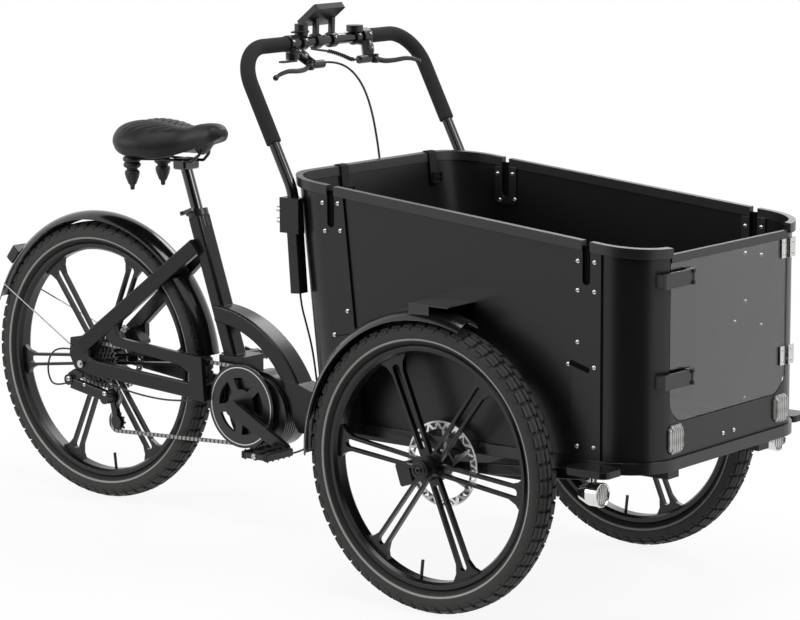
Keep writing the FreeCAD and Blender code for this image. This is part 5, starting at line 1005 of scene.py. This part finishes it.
STRAP_WIDE, STRAP_THICK, STRAP_BEND = 0.026, 0.002, 0.006
STRAP_LOOP = ((0.0988, 0.8161), (0.0928, 0.8691), (0.1138, 0.8691), (0.1219, 0.7981))
STRAP_SECTION = ((-0.5, 0.3), (-0.46, 0.5), (0.46, 0.5), (0.5, 0.3), (0.5, -0.3), (0.46, -0.5),
                 (-0.46, -0.5), (-0.5, -0.3))
BUCKLE_X, BUCKLE_LOW, BUCKLE_DEEP, BUCKLE_TALL = 0.1235, 0.7981, 0.0075, 0.026
CHEEKS, CHEEK_WIDE = (-0.016, 0.0125), 0.0035
RUNGS, RUNG_HALF, RUNG_TALL = ((0.0, 0.0075), (0.0105, 0.006), (0.0215, 0.0075)), 0.0135, 0.0045
for number, middle in enumerate((-0.105, 0.205), 1):
    path = bent([(x, middle, z) for x, z in STRAP_LOOP], STRAP_BEND, 8)
    form = Form()
    for i, spot in enumerate(path):
        out = heading(path, i).cross(Vector((0, 1, 0)))
        form.points += [spot + Vector((0, w * STRAP_WIDE, 0)) + out * t * STRAP_THICK
                        for w, t in STRAP_SECTION]
    form.skin(0, len(STRAP_SECTION))
    strap = made("rim_strap_%d" % number, form, webbing, "front", 40.0)
    flat_long = sum((b - a).length for a, b in zip(path, path[1:]))
    form = Form()
    for y in CHEEKS:
        block(form, (BUCKLE_X, middle + y, BUCKLE_LOW),
              (BUCKLE_X + BUCKLE_DEEP, middle + y + CHEEK_WIDE, BUCKLE_LOW + BUCKLE_TALL), 0.001)
    for z, deep in RUNGS:
        low = BUCKLE_LOW + z
        block(form, (BUCKLE_X, middle - RUNG_HALF, low),
              (BUCKLE_X + deep, middle + RUNG_HALF, low + RUNG_TALL), 0.001)
    buckle = made("ladder_buckle_%d" % number, form, buckle_plastic, "front")
    if number == 2:
        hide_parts("straps")


# ---------------------------------------------------------------- hoses and cables
# Two brake hoses leave the levers, one arching down to the rear wall, and a lead runs down the
# right leg of the bar. At the rear a gear cable loops into the gear, and leads follow the frame.

sleeve = Finish("cable_sleeve", 0.012, 0.38)
sleeve.grained(1500.0, 0.25, 0.2, 0.00004)
CORDS = (
    ("brake_hose_right", "front", FRONT_AXLE, 0.0025, 0.450, "hanging",
     ((-537, -61, 778), (-529, -18, 778), (-509, 24, 743), (-489, 42, 680), (-471, 46, 585),
      (-465, 46, 525), (-451, 46, 400))),
    ("brake_hose_left", "front", FRONT_AXLE, 0.0025, 0.141, "taut",
     ((-537, 61, 778), (-533, 36, 775), (-537, 8, 787), (-549, -24, 799), (-559, -52, 803),
      (-565, -70, 807))),
    ("bar_lead", "front", (0.5583, -0.3, 0.305), 0.0022, 0.287, "taut",
     ((-409.5, 0, 329), (-407, 0, 291), (-393, 1, 247), (-378, 3, 195), (-369, 6, 125),
      (-360, 8, 47))),
    ("gear_cable_loop", "frame", REAR_HUB, 0.0022, 0.208, "loose",
     ((-34, -74, 30), (-78, -78, 32), (-108, -80, 6), (-112, -82, -36), (-88, -84, -66),
      (-38, -86, -48))),
    ("stay_cable", "frame", REAR_HUB, 0.0022, 0.279, "taut",
     ((60, -71, -28), (110, -69, -47), (190, -66, -58), (280, -62, -60), (334, -58, -51))),
    ("motor_lead", "frame", CRANK_AXLE, 0.0022, 0.171, "loose",
     ((62, -26, -95), (97, -27, -105), (147, -28, -93), (190, -24, -69), (216, -20, -46))),
)
CORD_REPLACES = {"brake_hose_right": "front_cables", "gear_cable_loop": "frame_cables"}
WRAP_FROM, WRAP_TO, WRAP_STEP, WRAP_PITCH = 0.024, 0.098, 0.0004, 0.0056
WRAP_REACH, WRAP_RADIUS = 0.0037, 0.0013


def spiral(trace):
    """A coil of wrap round part of a hose."""
    reach = np.concatenate([[0], np.cumsum([(b - a).length for a, b in zip(trace, trace[1:])])])
    coil = []
    for d in np.arange(WRAP_FROM, WRAP_TO, WRAP_STEP):
        spot, beyond = [Vector([np.interp(t, reach, [p[k] for p in trace]) for k in range(3)])
                        for t in (d, d + 0.002)]
        ahead = beyond - spot
        across = ahead.cross(Vector((0, 0, 1))).normalized()
        over = ahead.normalized().cross(across)
        a = d * math.tau / WRAP_PITCH
        coil.append(spot + (across * math.cos(a) + over * math.sin(a)) * WRAP_REACH)
    return coil


for name, body, base, radius, length, lay, route in CORDS:
    line = bpy.data.curves.new(name, "CURVE")
    line.dimensions = "3D"
    spline = line.splines.new("NURBS")
    spline.points.add(len(route) - 1)
    spots = [Vector(base) + Vector(p) / 1000 for p in route]
    for point, spot in zip(spline.points, spots):
        point.co = (*spot, 1)
    spline.order_u = 3
    spline.use_endpoint_u = True
    line.resolution_u = 16
    cord = bpy.data.objects.new(name, line)
    bpy.context.scene.collection.objects.link(cord)
    if name == "brake_hose_left":
        coil = spiral([v.co.copy() for v in bpy.data.meshes.new_from_object(cord).vertices])
        form = Form()
        tube(form, coil, [WRAP_RADIUS] * len(coil), 8)
        made("hose_spiral_wrap", form, sleeve, body, 60.0)
    line.bevel_depth = radius
    line.bevel_resolution = 4
    line.use_fill_caps = True
    line.materials.append(sleeve.material)
    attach(cord, body)
    if name in CORD_REPLACES:
        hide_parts(CORD_REPLACES[name])


# ---------------------------------------------------------------- studio
# A pale floor and a white surround are lit by four soft lamps. Two black cloths, one behind the
# camera and one overhead, keep the paint dark where it faces them. The camera stands where the
# picture was taken.

def staged(name, data, place):
    thing = bpy.data.objects.new(name, data)
    thing.location = place
    bpy.context.scene.collection.objects.link(thing)
    return thing


def background_rays(tree):
    """One for the rays that see the backdrop: straight, mirrored or through clear sheet."""
    found = Wire(tree, None).node("LightPath", out="Is Camera Ray")
    for kind in ("Is Glossy Ray", "Is Transmission Ray"):
        found = found.maths("MAXIMUM", found.node("LightPath", out=kind))
    return found


# The floor is an ellipse, and these are the inverse squares of its half lengths.
FLOOR_X, FLOOR_Y, FADE_FROM, FADE_TO = 0.3, 0.6, 0.55, 0.98
floor_paint = Finish("studio_floor", 0.9, 0.7)
ray = background_rays(floor_paint.tree)
glow = ray.node("Emission", None, {"Color": (1, 1, 1, 1), "Strength": 1.0})
lit = Wire(floor_paint.tree, floor_paint.shader.outputs[0])
floor_x, floor_y, _ = floor_paint.axes()
spread = (floor_x * floor_x * FLOOR_X + floor_y * floor_y * FLOOR_Y).root()
fade = spread.node("MapRange", {"interpolation_type": "SMOOTHSTEP"},
                   {"Value": spread, "From Min": FADE_FROM, "From Max": FADE_TO})
seen = ray.node("MixShader", None, {0: ray * (fade * 0.1 + 0.9), 1: lit, 2: glow})
ending = floor_paint.tree.nodes["Material Output"]
floor_paint.tree.links.new(seen.socket, ending.inputs["Surface"])
ground = bpy.data.meshes.new("studio_floor")
edge = [(math.cos(a) / math.sqrt(FLOOR_X), math.sin(a) / math.sqrt(FLOOR_Y), 0)
        for a in np.linspace(0, math.tau, 64, False)]
ground.from_pydata(edge, [], [tuple(range(len(edge)))])
ground.materials.append(floor_paint.material)
staged("studio_floor", ground, (0, 0, -0.0005))

SURROUND_LIGHT = 0.6
world = bpy.data.worlds.new("studio")
bpy.context.scene.world = world
world.use_nodes = True
sky = world.node_tree.nodes["Background"]
sky.inputs["Color"].default_value = (1, 1, 1, 1)
paths = background_rays(world.node_tree)
level = paths + (1 - paths) * SURROUND_LIGHT
world.node_tree.links.new(level.socket, sky.inputs["Strength"])

CLOTH_REACH, CLOTH_LOW, CLOTH_HIGH = 8.5, -3.5, 4.5
CLOTH_TURN, CLOTH_SPREAD, CLOTH_COLUMNS = -51.5, 40.0, 13
ROOF_RADIUS, ROOF_HEIGHT, ROOF_SIDES = 6.0, 7.0, 32
cloth = Finish("black_cloth", 0.002, 1.0, {"Specular IOR Level": 0.0})
bearings = np.radians(np.linspace(CLOTH_TURN - CLOTH_SPREAD, CLOTH_TURN + CLOTH_SPREAD,
                                  CLOTH_COLUMNS))
drop = [(math.cos(a) * CLOTH_REACH, math.sin(a) * CLOTH_REACH, z)
        for z in (CLOTH_LOW, CLOTH_HIGH) for a in bearings]
roof = [(math.cos(a) * ROOF_RADIUS, math.sin(a) * ROOF_RADIUS, ROOF_HEIGHT)
        for a in np.linspace(0, math.tau, ROOF_SIDES, False)]
for name, points, faces in (("black_drop", drop, quads(2, CLOTH_COLUMNS, wrap_columns=False)),
                            ("black_roof", roof, [tuple(range(ROOF_SIDES))])):
    mesh = bpy.data.meshes.new(name)
    mesh.from_pydata(points, [], faces)
    mesh.materials.append(cloth.material)
    hung = staged(name, mesh, (0, 0, 0))
    hung.visible_camera = False

LAMPS = (("key_lamp", (4.2, 0.6, 3.2), 2.0, 90), ("side_lamp", (-2.8, -4.2, 2.6), 2.0, 75),
         ("top_lamp", (0.6, -0.9, 4.6), 2.4, 90), ("back_lamp", (-0.8, 3.8, 3.4), 2.2, 55))
LAMPS_FACE = Vector((0.1, 0, 0.5))
for name, place, size, power in LAMPS:
    lamp = bpy.data.lights.new(name, "AREA")
    lamp.shape = "DISK"
    lamp.size = size
    lamp.energy = power
    thing = staged(name, lamp, place)
    thing.rotation_euler = (LAMPS_FACE - Vector(place)).to_track_quat("-Z", "Y").to_euler()

view = bpy.data.cameras.new("photo_camera")
view.sensor_width = 36.0
view.lens = 139.894
camera = staged("photo_camera", view, (4.3821, -5.26984, 1.682))
azimuth, elevation, roll = [math.radians(a) for a in (38.5526, 9.6027, -0.2541)]
back = Vector((math.sin(azimuth) * math.cos(elevation), -math.cos(azimuth) * math.cos(elevation),
               math.sin(elevation)))
right = Vector((math.cos(azimuth), math.sin(azimuth), 0))
aim = Matrix.Rotation(roll, 3, back) @ Matrix((right, back.cross(right), back)).transposed()
camera.rotation_euler = aim.to_euler()
bpy.context.scene.camera = camera
bpy.context.scene.view_settings.view_transform = "Standard"
